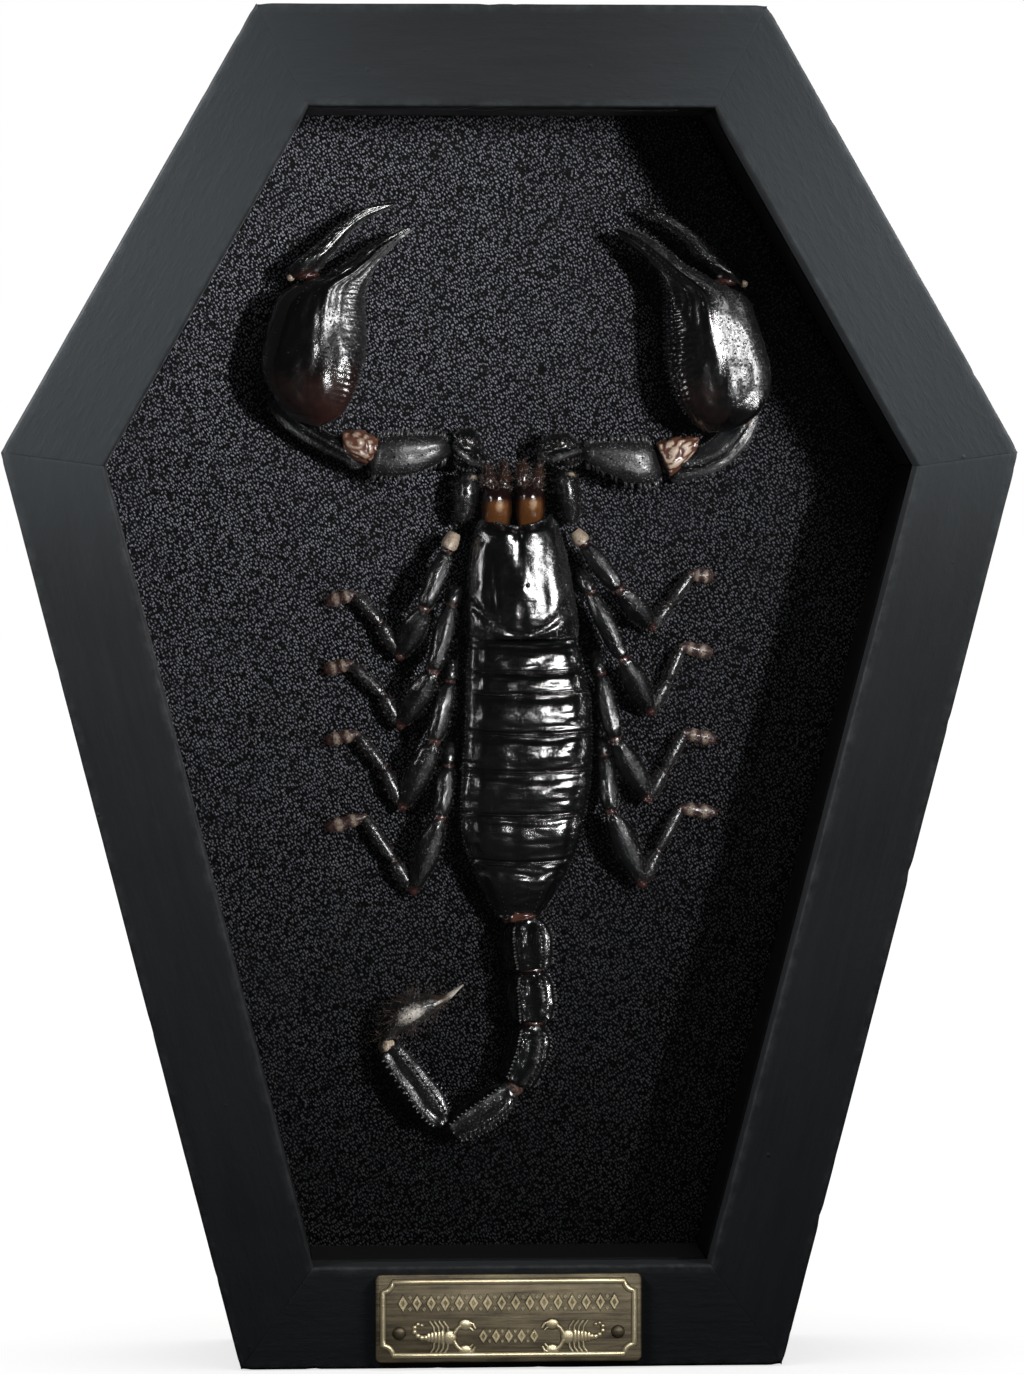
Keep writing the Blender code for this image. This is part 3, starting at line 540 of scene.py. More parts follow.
def grainTree():
    # low rounded granules where the surface's grain attribute is high
    t = ShapeTree("granules", {"Count": 4.0, "Radius": 0.1, "Spread": 0.5, "Seed": 1})
    dots = t.node("GeometryNodeDistributePointsOnFaces", {"distribute_method": "RANDOM"}, {
        "Mesh": t.inputs.out("Geometry"),
        "Density": t.size("Count") * t.field("grain") * (1 / mm ** 2), "Seed": t.size("Seed"),
    })
    ball = t.node("GeometryNodeMeshIcoSphere", {}, {"Radius": mm, "Subdivisions": 1})
    low = t.size("Radius") * (1.0 - t.size("Spread"))
    high = t.size("Radius") * (1.0 + t.size("Spread"))
    placed = t.node("GeometryNodeInstanceOnPoints", {}, {
        "Points": dots, "Instance": ball, "Rotation": dots.out("Rotation"),
        "Scale": t.randomised(low, high, t.size("Seed") + 7),
    })
    t.close(placed, finishes["black"])
    return t


def hairTree():
    # thin bent hairs where the surface's hairy attribute is high
    t = ShapeTree("hairs", {"Count": 1.0, "Length": 1.0, "Width": 0.02, "Tilt": 0.6, "Seed": 1})
    dots = t.node("GeometryNodeDistributePointsOnFaces", {"distribute_method": "RANDOM"}, {
        "Mesh": t.inputs.out("Geometry"),
        "Density": t.size("Count") * t.field("hairy") * (1 / mm ** 2), "Seed": t.size("Seed"),
    })
    hair = t.node("GeometryNodeMeshCone", {"fill_type": "TRIANGLE_FAN"}, {
        "Vertices": 4, "Side Segments": 3, "Radius Top": t.size("Width") * 0.15 * mm,
        "Radius Bottom": t.size("Width") * mm, "Depth": mm,
    })
    here = t.node("ShaderNodeSeparateXYZ", {}, {0: t.node("GeometryNodeInputPosition")})
    bend = here.out("Z") * here.out("Z") * (0.35 / mm)
    offset = t.node("ShaderNodeCombineXYZ", {}, {"X": bend})
    hair = t.node("GeometryNodeSetPosition", {}, {"Geometry": hair, "Offset": offset})
    spin = t.node("ShaderNodeCombineXYZ", {}, {
        "X": t.randomised(t.size("Tilt") * -1.0, t.size("Tilt"), t.size("Seed") + 3),
        "Y": t.randomised(t.size("Tilt") * -1.0, t.size("Tilt"), t.size("Seed") + 4),
        "Z": t.randomised(-3.1, 3.1, t.size("Seed") + 5),
    })
    turned = t.node("FunctionNodeRotateRotation", {"rotation_space": "LOCAL"}, {
        "Rotation": dots.out("Rotation"), "Rotate By": t.node("FunctionNodeEulerToRotation", {}, {0: spin}),
    })
    long = t.size("Length") * t.randomised(0.45, 1.15, t.size("Seed") + 6)
    placed = t.node("GeometryNodeInstanceOnPoints", {}, {
        "Points": dots, "Instance": hair, "Rotation": turned,
        "Scale": t.node("ShaderNodeCombineXYZ", {}, {"X": 1.0, "Y": 1.0, "Z": long}),
    })
    t.close(placed, finishes["hair"])
    return t


studs = studTree()
grains = grainTree()
hairs = hairTree()


# A mesh of loose points for the stud tree, in world metres with aims and sizes.
def guidePoints(spots, aims, sizes):
    mesh = bpy.data.meshes.new("guide points")
    mesh.from_pydata([tuple(p) for p in spots], [], [])
    flat = [v for aim in aims for v in aim]
    mesh.attributes.new("aim", "FLOAT_VECTOR", "POINT").data.foreach_set("vector", flat)
    mesh.attributes.new("size", "FLOAT", "POINT").data.foreach_set("value", [s * mm for s in sizes])
    return mesh


def ramped(value, start, stop):
    part = min(max((value - start) / (stop - start), 0.0), 1.0)
    return part * part * (3 - 2 * part)


coffin = {
    "height": 204.8, "shoulder": 137.9, "topHalf": 38.25, "shoulderHalf": 76.4, "footHalf": 40.9,
    "rail": 15.4, "stile": 14.4, "depth": 32.0, "lip": 6.0, "rebate": 4.0,
    "round": 0.5, "mitre": 0.008, "station": 0.8, "wave": 0.05, "drop": 0.03, "dropReach": 0.12,
    # dents along the edges: how far apart, the share on the outer edge, their reach and depth
    "nickPitch": 16, "nickOuter": 0.6, "nickReach": (0.5, 1.3), "nickDepth": (0.08, 0.26),
}
barNames = ("top", "upper_right", "lower_right", "foot", "lower_left", "upper_left")
barWidths = [coffin["rail"] if name in ("top", "foot") else coffin["stile"] for name in barNames]


def coffinOutline():
    right = [(coffin["topHalf"], coffin["height"]), (coffin["shoulderHalf"], coffin["shoulder"]),
             (coffin["footHalf"], 0.0)]
    left = [(-x, z) for x, z in reversed(right)]
    return [Vector(p) for p in [left[-1]] + right + left[:-1]]


def insetOutline(distances):
    corners = coffinOutline()
    lines = []
    for i, distance in enumerate(distances):
        along = (corners[(i + 1) % 6] - corners[i]).normalized()
        lines.append((corners[i] + Vector((along.y, -along.x)) * distance, along))
    points = []
    for i in range(6):
        (first, u), (second, v) = lines[i - 1], lines[i]
        reach = (second - first).cross(v) / u.cross(v)
        points.append(first + u * reach)
    return points


def arc(centre, radius, start, stop, steps):
    return [
        (centre[0] + radius * math.cos(math.radians(start + (stop - start) * k / steps)),
         centre[1] + radius * math.sin(math.radians(start + (stop - start) * k / steps)))
        for k in range(steps + 1)
    ]


def line(start, stop, steps):
    return [
        (start[0] + (stop[0] - start[0]) * k / steps, start[1] + (stop[1] - start[1]) * k / steps)
        for k in range(1, steps)
    ]


# The bar's section: across from its outer side, and depth from its front.
def barSection(width):
    r, depth, lip = coffin["round"], coffin["depth"], coffin["lip"]
    wall = width - coffin["rebate"]
    front = arc((r, r), r, 180, 270, 4)
    inner = arc((width - r, r), r, 270, 360, 4)
    sill = arc((width - 0.2, lip - 0.2), 0.2, 0, 90, 2)
    rear = arc((wall - 0.3, depth - 0.3), 0.3, 0, 90, 2)
    back = arc((0.4, depth - 0.4), 0.4, 90, 180, 3)
    points = [(p, 1.0) for p in front]
    points += [(p, 0.0) for p in line(front[-1], inner[0], 14)]
    points += [(p, 1.0) for p in inner]
    points += [(p, 0.0) for p in line(inner[-1], sill[0], 5)]
    points += [(p, 0.4) for p in sill] + [((wall, lip), 0.0)]
    points += [(p, 0.0) for p in line((wall, lip), rear[0], 8)]
    points += [(p, 0.5) for p in rear] + [(p, 0.0) for p in line(rear[-1], back[0], 6)]
    points += [(p, 0.7) for p in back]
    points += [(p, 0.0) for p in line(back[-1], front[0], 12)]
    return points


def buildBars():
    outer, inner = coffinOutline(), insetOutline(barWidths)
    chance = random.Random(11)
    for i, name in enumerate(barNames):
        j = (i + 1) % 6
        along = (outer[j] - outer[i]).normalized()
        inward = Vector((along.y, -along.x))
        width = barWidths[i]
        section = barSection(width)
        length = (outer[j] - outer[i]).length
        ends = []
        for corner, turn in ((i, 1), (j, -1)):
            mitre = (inner[corner] - outer[corner]).normalized()
            ends.append(along * (turn * coffin["mitre"] / abs(mitre.cross(along))))
        nicks = [(chance.uniform(2, length - 2), chance.random() < coffin["nickOuter"],
                  chance.uniform(*coffin["nickReach"]), chance.uniform(*coffin["nickDepth"]))
                 for n in range(int(length / coffin["nickPitch"]))]
        nicks += [(chance.uniform(0.0, 0.6), True, 1.1, 0.3), (length - 0.4, True, 0.9, 0.24)]
        count = int(length / coffin["station"])
        places = [0.0, 0.0012, 0.004] + [k / count for k in range(1, count)] + [0.996, 0.9988, 1.0]
        body = Body()
        body.extra["run"] = []
        edges = []
        rings = []
        for place in places:
            ring = []
            near = min(place, 1.0 - place) * length
            for (across, depth), edge in section:
                part = across / width
                start = outer[i].lerp(inner[i], part) + ends[0]
                stop = outer[j].lerp(inner[j], part) + ends[1]
                spot = start.lerp(stop, place)
                s = (spot - outer[i]).dot(along)
                seed = Vector((s * 0.045 + 31 * i, across * 0.11, depth * 0.09))
                wave = coffin["wave"] * noise.noise(seed)
                wave += 0.35 * coffin["wave"] * noise.noise(seed * 6)
                drop = coffin["drop"] * max(0.0, 1.0 - near / coffin["dropReach"]) if depth < 1 else 0.0
                push = 0.0
                for where, outside, reach, deep in nicks:
                    corner = (0.0 if outside else width, 0.0)
                    far = math.dist((s, across, depth), (where, *corner)) / reach
                    push += deep * math.exp(-far * far * 1.6) if far < 2.2 else 0.0
                toCentre = Vector((width / 2 - across, 3.0 - depth)).normalized() * push
                side = across + (wave if across < 1 or across > width - 1 else 0.0) + toCentre.x
                deepness = depth + drop + toCentre.y
                deepness += wave if depth < 1 else 0.0
                spot = spot + inward * (side - across)
                ring.append(Vector((spot.x, frontFace + max(deepness, 0.0), spot.y)) * mm)
                body.extra["run"].append((s + 211 * i, across, depth))
                edges.append(edge)
            rings.append(ring)
        body.loops(rings)
        body.tints["edge"] = edges
        # painted light: the mask is full on the upper bars, weaker towards the middle of the top bar, and
        # fades out below the shoulders
        body.tints["shade"] = [
            ramped(p.z / mm, 112.0, 140.0) * (0.25 + 0.75 * ramped(abs(p.x) / mm, 4.0, 46.0))
            for p in body.points
        ]
        body.piece("bar_" + name, "paint", "painted_wood", ["frame_" + name], sharp=38)
    print("six bars")


layers = {"clear_pane": "pane", "leatherette_board": "leather", "back_board": "hardboard"}
layers.update({"spacer_" + name: "card" for name in barNames})


# The plain layers stay as the CAD has them and only get their finish.
def buildLayers():
    for node, finish in layers.items():
        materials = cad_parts[node].data.materials
        materials.clear()
        materials.append(finishes[finish])
    print("pane, spacers and boards")


# A flat piece from an outline of (x, z) points, with eased edges.
def flatPiece(loop, front, back, ease=0.12, segments=2):
    bm = bmesh.new()
    face = bm.faces.new([bm.verts.new((x * mm, front * mm, z * mm)) for x, z in loop])
    pulled = bmesh.ops.extrude_face_region(bm, geom=[face])
    moved = [v for v in pulled["geom"] if isinstance(v, bmesh.types.BMVert)]
    bmesh.ops.translate(bm, verts=moved, vec=(0.0, (back - front) * mm, 0.0))
    bmesh.ops.recalc_face_normals(bm, faces=bm.faces)
    sharp = [e for e in bm.edges if e.calc_face_angle(0) > 0.9]
    rims = [e for e in sharp if abs(e.verts[0].co.y - e.verts[1].co.y) < 1e-7]
    bmesh.ops.bevel(bm, geom=rims, offset=ease * mm, segments=segments, affect="EDGES", profile=0.5)
    mesh = bpy.data.meshes.new("flat")
    bm.to_mesh(mesh)
    bm.free()
    return mesh


# A piece turned about an axis along Y: its profile is radius and depth.
def turned(body, x, z, profile, tint=None):
    turns = [2 * math.pi * k / 24 for k in range(24)]
    body.loops([
        [Vector((x + radius * math.cos(a), depth, z + radius * math.sin(a))) * mm for a in turns]
        for radius, depth in profile
    ], tint)


rear = {"tabLength": 9.0, "tabWidth": 4.0, "tabThick": 0.45, "hangerWidth": 44.0,
        "hangerHeight": 9.0, "hangerZ": 172.0, "hangerCorner": 2.2, "teeth": 22,
        "rivet": 1.5, "rivetHigh": 0.72}


def buildRearFittings():
    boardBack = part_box("back_board")[1].y / mm
    wall = insetOutline([w - coffin["rebate"] + 0.25 for w in barWidths])
    for i, name in enumerate(barNames):
        start, stop = wall[i], wall[(i + 1) % 6]
        along = (stop - start).normalized()
        inward = Vector((along.y, -along.x))
        middle = start.lerp(stop, 0.5)
        body = Body()
        rings = []
        for k in range(25):
            u = k / 24
            # pressed against the wall, humped over the bend, flat on the board
            lift = 0.2 + 1.1 * math.exp(-((u - 0.16) / 0.13) ** 2) + 0.25 * max(0.0, u - 0.85)
            tip = math.sqrt(max(0.03, 1 - max(0.0, (u - 0.8) / 0.2) ** 2))
            half = rear["tabWidth"] / 2 * (1.0 - 0.35 * u) * tip
            spot = middle + inward * (rear["tabLength"] * u)
            ring = []
            for side, level in ((-1, 0.0), (-0.94, -0.06), (0.94, -0.06), (1, 0.0), (1, 1.0),
                                (0.94, 1.12), (-0.94, 1.12), (-1, 1.0)):
                p = spot + along * (half * side)
                depth = boardBack + lift + rear["tabThick"] * level * 0.9
                ring.append(Vector((p.x, depth, p.y)) * mm)
            rings.append(ring)
        body.loops(rings)
        body.piece("steel_tab_" + name, "zinc", "tab_steel", ["tab_" + name], sharp=40)

    half, low = rear["hangerWidth"] / 2, rear["hangerZ"] - rear["hangerHeight"] / 2
    high = low + rear["hangerHeight"]
    reach, r = rear["hangerWidth"] * 0.3, rear["hangerCorner"]
    loop = [(-half + 1, high), (half - 1, high)]
    loop += arc((half - r, high - r), r, 70, 0, 4) + arc((half - r, low + r), r, 0, -90, 4)
    loop += [(reach + 3.0, low), (reach + 1.2, low + 3.0)]
    pitch = 2 * reach / rear["teeth"]
    for k in range(rear["teeth"] + 1):
        x = reach - k * pitch
        loop.append((x, low + 3.2))
        if k < rear["teeth"]:
            loop.append((x - pitch * 0.5, low + 4.0))
    loop += [(-reach - 1.2, low + 3.0), (-reach - 3.0, low)]
    loop += arc((-half + r, low + r), r, 270, 180, 4) + arc((-half + r, high - r), r, 180, 110, 4)
    body = Body()
    body.addMesh(flatPiece(loop, boardBack + 0.2, boardBack + 0.85, 0.1))
    top = boardBack + 0.85
    bead(body, [Vector((x, top, high - 1.0)) for x in (-half + 2, half - 2)], 0.35, closed=False)
    body.piece("hanger_plate", "hanger", "hanger_brass", ["sawtooth_hanger"], sharp=35)
    r, rise = rear["rivet"], rear["rivetHigh"]
    turns = [math.radians(a) for a in (20, 40, 60, 80, 90)]
    profile = [(0.02, top + rise)] + [(r * math.sin(a), top + rise * math.cos(a)) for a in turns]
    profile += [(r * 0.9, top - 0.03), (0.02, top - 0.03)]
    for side, x in (("left", -half * 0.8), ("right", half * 0.8)):
        body = Body()
        turned(body, x, rear["hangerZ"], profile)
        body.piece("rivet_head_" + side, "hanger", "hanger_brass", ["hanger_rivet_" + side], sharp=50)
    print("tabs, hanger and rivets")


# A round bead swept along a path of world points in millimetres.
def bead(body, path, radius, closed=True, squash=1.0):
    count, sides = len(path), 8
    rings = []
    for i, spot in enumerate(path):
        before = path[i - 1] if closed or i else spot
        after = path[(i + 1) % count] if closed or i < count - 1 else spot
        along = (after - before).normalized()
        side = along.cross(Vector((0, 1, 0))).normalized()
        rings.append([
            (spot + side * (radius * math.cos(a)) + Vector((0, radius * squash * math.sin(a), 0))) * mm
            for a in (2 * math.pi * k / sides for k in range(sides))
        ])
    if closed:
        rings.append(rings[0])
    body.loops(rings, capped=not closed)


plate = {
    "width": 40.2, "height": 13.4, "x": -0.6, "z": 7.7, "thick": 0.7, "corner": 0.9,
    "inset": 1.15, "line": 1.0, "notch": 1.5, "rise": 0.36, "pinX": 16.5, "pinDrop": 2.2,
    "pinHead": 1.05, "pinShank": 0.45, "proud": 1.35,
    # each band of lozenges: how far above the middle, its length, how many, and how tall
    "bands": ((2.35, 34.0, 16, 2.9), (-2.7, 9.6, 5, 2.5)), "reliefX": 9.9, "reliefDrop": 2.9,
}


# The raised line's path: a rectangle with hollow corners.
def hollowRectangle(wide, tall, notch):
    points = []
    for turn, (sx, sz) in enumerate(((1, 1), (-1, 1), (-1, -1), (1, -1))):
        start = 90 * turn
        centre = (plate["x"] + sx * wide / 2, plate["z"] + sz * tall / 2)
        points += arc(centre, notch, start + 270, start + 180, 6)
        following = ((-1, 1), (-1, -1), (1, -1), (1, 1))[turn]
        # the straight side to the next corner
        end = (plate["x"] + following[0] * wide / 2, plate["z"] + following[1] * tall / 2)
        towards = Vector((end[0] - centre[0], end[1] - centre[1]))
        here = Vector(points[-1])
        span = towards.normalized() * (towards.length - 2 * notch)
        points += [tuple(here + span * (k / 8)) for k in range(1, 8)]
    return points


def buildPlate():
    face = frontFace - 0.2 - plate["thick"]
    x, z = plate["x"], plate["z"]
    w, h, r = plate["width"] / 2, plate["height"] / 2, plate["corner"]
    loop = []
    for turn, (sx, sz) in enumerate(((1, 1), (-1, 1), (-1, -1), (1, -1))):
        loop += arc((x + sx * (w - r), z + sz * (h - r)), r, 90 * turn, 90 * turn + 90, 5)
    body = Body()
    body.addMesh(flatPiece(loop, face, frontFace - 0.03, 0.22, 3))
    wide, tall = 2 * (w - plate["inset"]), 2 * (h - plate["inset"])
    path = [Vector((px, face, pz)) for px, pz in hollowRectangle(wide, tall, plate["notch"])]
    bead(body, path, plate["line"] / 2, squash=plate["rise"] / plate["line"] * 2)
    # bands of lozenges, with two small ones between each pair
    for up, length, count, tall in plate["bands"]:
        pitch, rowZ = length / count, z + up
        for k in range(count):
            middle = x - length / 2 + pitch * (k + 0.5)
            lozenge(body, middle, rowZ, pitch * 0.80, tall, face)
            if k < count - 1:
                for turn in (-1, 1):
                    lozenge(body, middle + pitch / 2, rowZ + turn * tall * 0.30, pitch * 0.30,
                            tall * 0.26, face)
    for side in (-1, 1):
        smallScorpion(body, x + side * plate["reliefX"], z - plate["reliefDrop"], face, -side)
    finishes["plate"] = plateFinish(face, plate["rise"])
    body.piece("brass_nameplate", "plate", "plate_brass", ["nameplate"], sharp=45)
    top, low, stem = frontFace - plate["proud"], face - 0.02, frontFace - 0.1
    head, shank = plate["pinHead"], plate["pinShank"]
    turns = [math.radians(a) for a in (15, 30, 45, 60, 75, 90)]
    profile = [(0.01, top)] + [(head * math.sin(a), low - (low - top) * math.cos(a)) for a in turns]
    profile += [(head, low + 0.1), (shank, low + 0.1), (shank, stem), (0.01, stem)]
    for name, side in (("left", -1), ("right", 1)):
        body = Body()
        turned(body, x + side * plate["pinX"], z - plate["pinDrop"], profile, tint={"dust": 1.6})
        body.piece("brass_pin_" + name, "plate", "plate_brass", ["plate_pin_" + name], sharp=50)
    print("nameplate and pins")


# A raised lozenge with a hollow middle.
def lozenge(body, x, z, wide, tall, face):
    rings = []
    for size, rise in ((1.0, -0.02), (0.80, 0.30), (0.42, 0.30), (0.22, 0.10)):
        rings.append([
            Vector((x + px * wide / 2 * size, face - rise, z + pz * tall / 2 * size)) * mm
            for px, pz in ((1, 0), (0, 1), (-1, 0), (0, -1))
        ])
    body.loops(rings)


# A low relief of a scorpion on the plate, its claws towards the plate's middle.
def smallScorpion(body, x, z, face, way):
    def spot(along, up):
        return Vector((x + way * along, face, z + up))

    def dome(along, up, long, tall, rise=0.30):
        rings = []
        for a in (90, 65, 42, 20, 3):
            scale, high = math.sin(math.radians(a)), math.cos(math.radians(a))
            turns = [2 * math.pi * k / 12 for k in range(12)]
            rings.append([
                (spot(along + long * scale * math.cos(b), up + tall * scale * math.sin(b))
                 - Vector((0, rise * high - 0.02, 0))) * mm for b in turns
            ])
        body.loops(rings)

    def limb(radius, *places):
        bead(body, [spot(*p) for p in places], radius, closed=False, squash=0.8)

    dome(1.0, 0.0, 1.2, 1.25)
    for k in range(5):
        dome(-0.1 - 0.52 * k, 0.05, 0.46, 1.35 - 0.12 * k)
    tail = [(-2.6, 0.0), (-3.2, 0.0), (-3.8, 0.3), (-4.3, 0.9), (-4.3, 1.6), (-3.8, 2.05), (-3.2, 1.9)]
    for k, (a, b) in enumerate(tail):
        dome(a, b, 0.56 - 0.03 * k, 0.52 - 0.03 * k)
    for side in (-1, 1):
        for k in range(4):
            root = 0.8 - 0.70 * k
            limb(0.24, (root, side * 0.6), (root - 0.10, side * 1.6), (root - 0.75, side * 2.5))
        limb(0.38, (1.6, side * 0.45), (2.1, side * 1.35), (2.7, side * 1.8))
        dome(3.35, side * 1.95, 1.20, 0.95)
        limb(0.30, (3.8, side * 2.3), (4.5, side * 2.05), (4.85, side * 1.4))
        limb(0.26, (3.8, side * 1.6), (4.2, side * 1.35), (4.5, side * 1.0))


buildBars()
buildLayers()
buildRearFittings()
buildPlate()


# From here on the specimen. A point is x and z across the board and height above it, in mm.
lift = 0.4


def at(spot):
    return Vector((spot[0], boardFace - spot[2], spot[1] + lift)) * mm


def bell(value, centre, width):
    return math.exp(-((value - centre) / width) ** 2)


# A smooth skin through given rows: left x and z, right x and z, low, high, bow.
# u runs along it from 0 to 1; the angle runs from the left edge over the top to the right.
class Skin:
    def __init__(self, rows, relief=None, tint=None, crown=None):
        self.crown = crown
        self.rows = [tuple(row) + (0.0,) * (7 - len(row)) for row in rows]
        self.relief = relief
        self.tint = tint

    def row(self, u):
        where = min(max(u, 0.0), 1.0) * (len(self.rows) - 1)
        i = min(int(where), len(self.rows) - 2)
        t = where - i
        a = self.rows[max(i - 1, 0)]
        b, c = self.rows[i], self.rows[i + 1]
        d = self.rows[min(i + 2, len(self.rows) - 1)]
        return [
            0.5 * (2 * q + (r - p) * t + (2 * p - 5 * q + 4 * r - s) * t * t
                   + (3 * q - p - 3 * r + s) * t * t * t)
            for p, q, r, s in zip(a, b, c, d)
        ]

    def spot(self, u, angle, shrink=1.0):
        leftX, leftZ, rightX, rightZ, low, high, bow = self.row(u)
        across = Vector((rightX - leftX, rightZ - leftZ))
        length = max(across.length, 0.01)
        forward = Vector((-across.y, across.x)) / length
        waist = low + (high - low) * 0.42
        t, s = -math.cos(angle), math.sin(angle)
        tall = high - waist if s > 0 else waist - low
        middle = Vector((leftX + rightX, leftZ + rightZ)) / 2 + forward * (bow * (1 - t * t * shrink))
        flat = middle + across * (t / 2 * shrink)
        spot = Vector((flat.x, flat.y, waist + s * tall * shrink))
        unit = across / length
        normal = Vector((unit.x * t * 2 / length, unit.y * t * 2 / length, s / max(tall, 0.05)))
        normal.normalize()
        if self.crown and s > 0:
            spot.z += self.crown(u, t) * tall * shrink
        if self.relief:
            spot += normal * self.relief(u, t, s)
        return spot, normal

    # The skin's rings with rounded ends, added to a body.
    def grow(self, body, steps, sides, cap=0.45):
        angles = [2 * math.pi * (k + 0.5) / sides for k in range(sides)]
        rings, tints = [], []
        stations = [(k / steps, 1.0, 0.0) for k in range(steps + 1)]
        if cap:
            turns = [math.radians(a) for a in (78, 58, 38, 18)]
            stations = [(0.0, math.cos(a), -cap * math.sin(a)) for a in turns] + stations
            stations += [(1.0, math.cos(a), cap * math.sin(a)) for a in reversed(turns)]
        for u, shrink, out in stations:
            ring = [self.spot(u, a, shrink)[0] for a in angles]
            if out:
                inside = 0.02 if u < 0.5 else 0.98
                centre = sum(ring, Vector()) / sides
                deeper = sum((self.spot(inside, a)[0] for a in angles), Vector()) / sides
                axis = (centre - deeper).normalized()
                ring = [p + axis * abs(out) for p in ring]
            rings.append([at(p) for p in ring])
            tints.append([self.tint and self.tint(u, -math.cos(a), math.sin(a)) for a in angles])
        body.loops(rings, tints)

    # Rows of studs along the skin, each at an angle given in degrees.
    def studRows(self, body, angles, start, stop, count, size, width=0.6, lean=0.0, jitter=0.12,
                 blunt=0.35, sides=6, tint=None, dust=0.55):
        for angle in angles:
            chance = random.Random(int(angle * 7 + count * 13 + size * 100))
            turn = math.radians(angle)
            spots, aims, sizes = [], [], []
            for k in range(count):
                part = (k + 0.5 + chance.uniform(-jitter, jitter)) / count
                u = start + (stop - start) * part
                here, normal = self.spot(u, turn)
                ahead = self.spot(min(u + 0.02, 1.0), turn)[0] - self.spot(max(u - 0.02, 0.0), turn)[0]
                aim = at(here + normal + ahead.normalized() * lean) - at(here)
                spots.append(at(here))
                aims.append(aim.normalized())
                sizes.append(size * chance.uniform(0.75, 1.2))
            grown = studs.grow(guidePoints(spots, aims, sizes), Width=width, Sides=sides, Blunt=blunt)
            # unless given a tint, the studs are greyed, as dust and as painted sheen, so that they show
            body.addMesh(grown, tint or {"dust": dust})


# Rows across a centre line: x, z, height of the middle, half width, half thickness.
def limbRows(points):
    rows = []
    for i, (x, z, height, halfWidth, halfThick) in enumerate(points):
        here = Vector((x, z))
        before = Vector(points[max(i - 1, 0)][:2])
        after = Vector(points[min(i + 1, len(points) - 1)][:2])
        arriving = (here - before).normalized() if i else (after - here).normalized()
        leaving = (after - here).normalized() if i < len(points) - 1 else arriving
        along = (arriving + leaving).normalized()
        stretch = min(1.0 / max(along.dot(leaving), 0.5), 1.25)
        across = Vector((along.y, -along.x)) * halfWidth * stretch
        left, right = here - across, here + across
        rows.append((*left, *right, height - halfThick, height + halfThick))
    return rows


def ball(body, centre, radii, tint=None, sides=16, rings=10):
    loops = []
    for k in range(rings + 1):
        a = math.pi * (k + 0.02) / (rings + 0.04)
        loops.append([
            at((centre[0] + radii[0] * math.sin(a) * math.cos(b), centre[1] + radii[1] * math.cos(a),
                centre[2] + radii[2] * math.sin(a) * math.sin(b)))
            for b in (2 * math.pi * n / sides for n in range(sides))
        ])
    body.loops(loops, tint)


# What each piece's skin carries: granules for each square millimetre and their radius, then
# hairs for each square millimetre with their length, width and tilt.
coats = {
    "carapace": {"granules": 6.0, "radius": 0.12, "seed": 5},
    "abdomen": {"granules": 4.0, "radius": 0.07, "hairs": 0.12, "length": 0.9, "width": 0.02, "seed": 9},
    "jaw": {"granules": 3.0, "radius": 0.16, "hairs": 2.6, "length": 1.1, "width": 0.035, "tilt": 0.9,
            "seed": 21},
    "coxa": {"granules": 5.0, "radius": 0.08, "hairs": 1.4, "length": 1.0, "width": 0.025, "seed": 31},
    "trochanter": {"granules": 3.0, "radius": 0.12, "seed": 33},
    "femur": {"granules": 1.6, "radius": 0.13, "seed": 35},
    "patella": {"granules": 4.0, "radius": 0.09, "hairs": 0.3, "length": 0.9, "width": 0.02, "seed": 37},
    "hand": {"granules": 1.2, "radius": 0.115, "seed": 39},
    "finger": {"granules": 4.0, "radius": 0.075, "hairs": 0.5, "length": 0.8, "width": 0.02, "seed": 41},
    "leg": {"granules": 2.5, "radius": 0.07, "hairs": 1.1, "length": 0.85, "width": 0.02, "seed": 51},
    "tail": {"granules": 3.0, "radius": 0.085, "hairs": 0.25, "length": 1.1, "width": 0.022, "seed": 71},
    "telson": {"granules": 2.0, "radius": 0.10, "hairs": 1.5, "length": 2.8, "width": 0.03, "tilt": 1.0,
               "seed": 91},
}
allHairs = Body()


# Granules over a body, and hairs kept for one piece of their own, where the body's tints ask for them.
def strewn(body, kind, number=0):
    coat = coats[kind]
    seed = coat["seed"] + number
    bare = body.mesh("bare", finishes["black"])
    grown = grains.grow(bare, Count=coat["granules"], Radius=coat["radius"], Seed=seed)
    # the granules are greyed a little, as dust and as painted sheen
    body.addMesh(grown, {"dust": 0.3})
    if "hairs" in coat:
        allHairs.addMesh(hairs.grow(bare, Count=coat["hairs"], Length=coat["length"], Seed=seed,
                                    Width=coat["width"], Tilt=coat.get("tilt", 0.6)))


carapace = {
    "rows": [
        (-3.2, 127.7, 7.0, 127.9, 2.6, 6.6, -1.6), (-4.5, 125.8, 8.3, 126.0, 1.4, 7.9, -1.1),
        (-5.5, 121.5, 9.5, 121.7, 0.8, 8.2), (-6.1, 115.5, 10.7, 115.7, 0.6, 8.8),
        (-6.2, 110.8, 11.3, 111.0, 0.6, 8.8), (-5.9, 108.9, 11.1, 109.1, 0.8, 8.2),
    ],
    "groove": 0.55, "crown": 0.35, "eyes": (2.9, 117.2, 9.15), "sideEyes": (2.0, 125.2, 6.2),
}


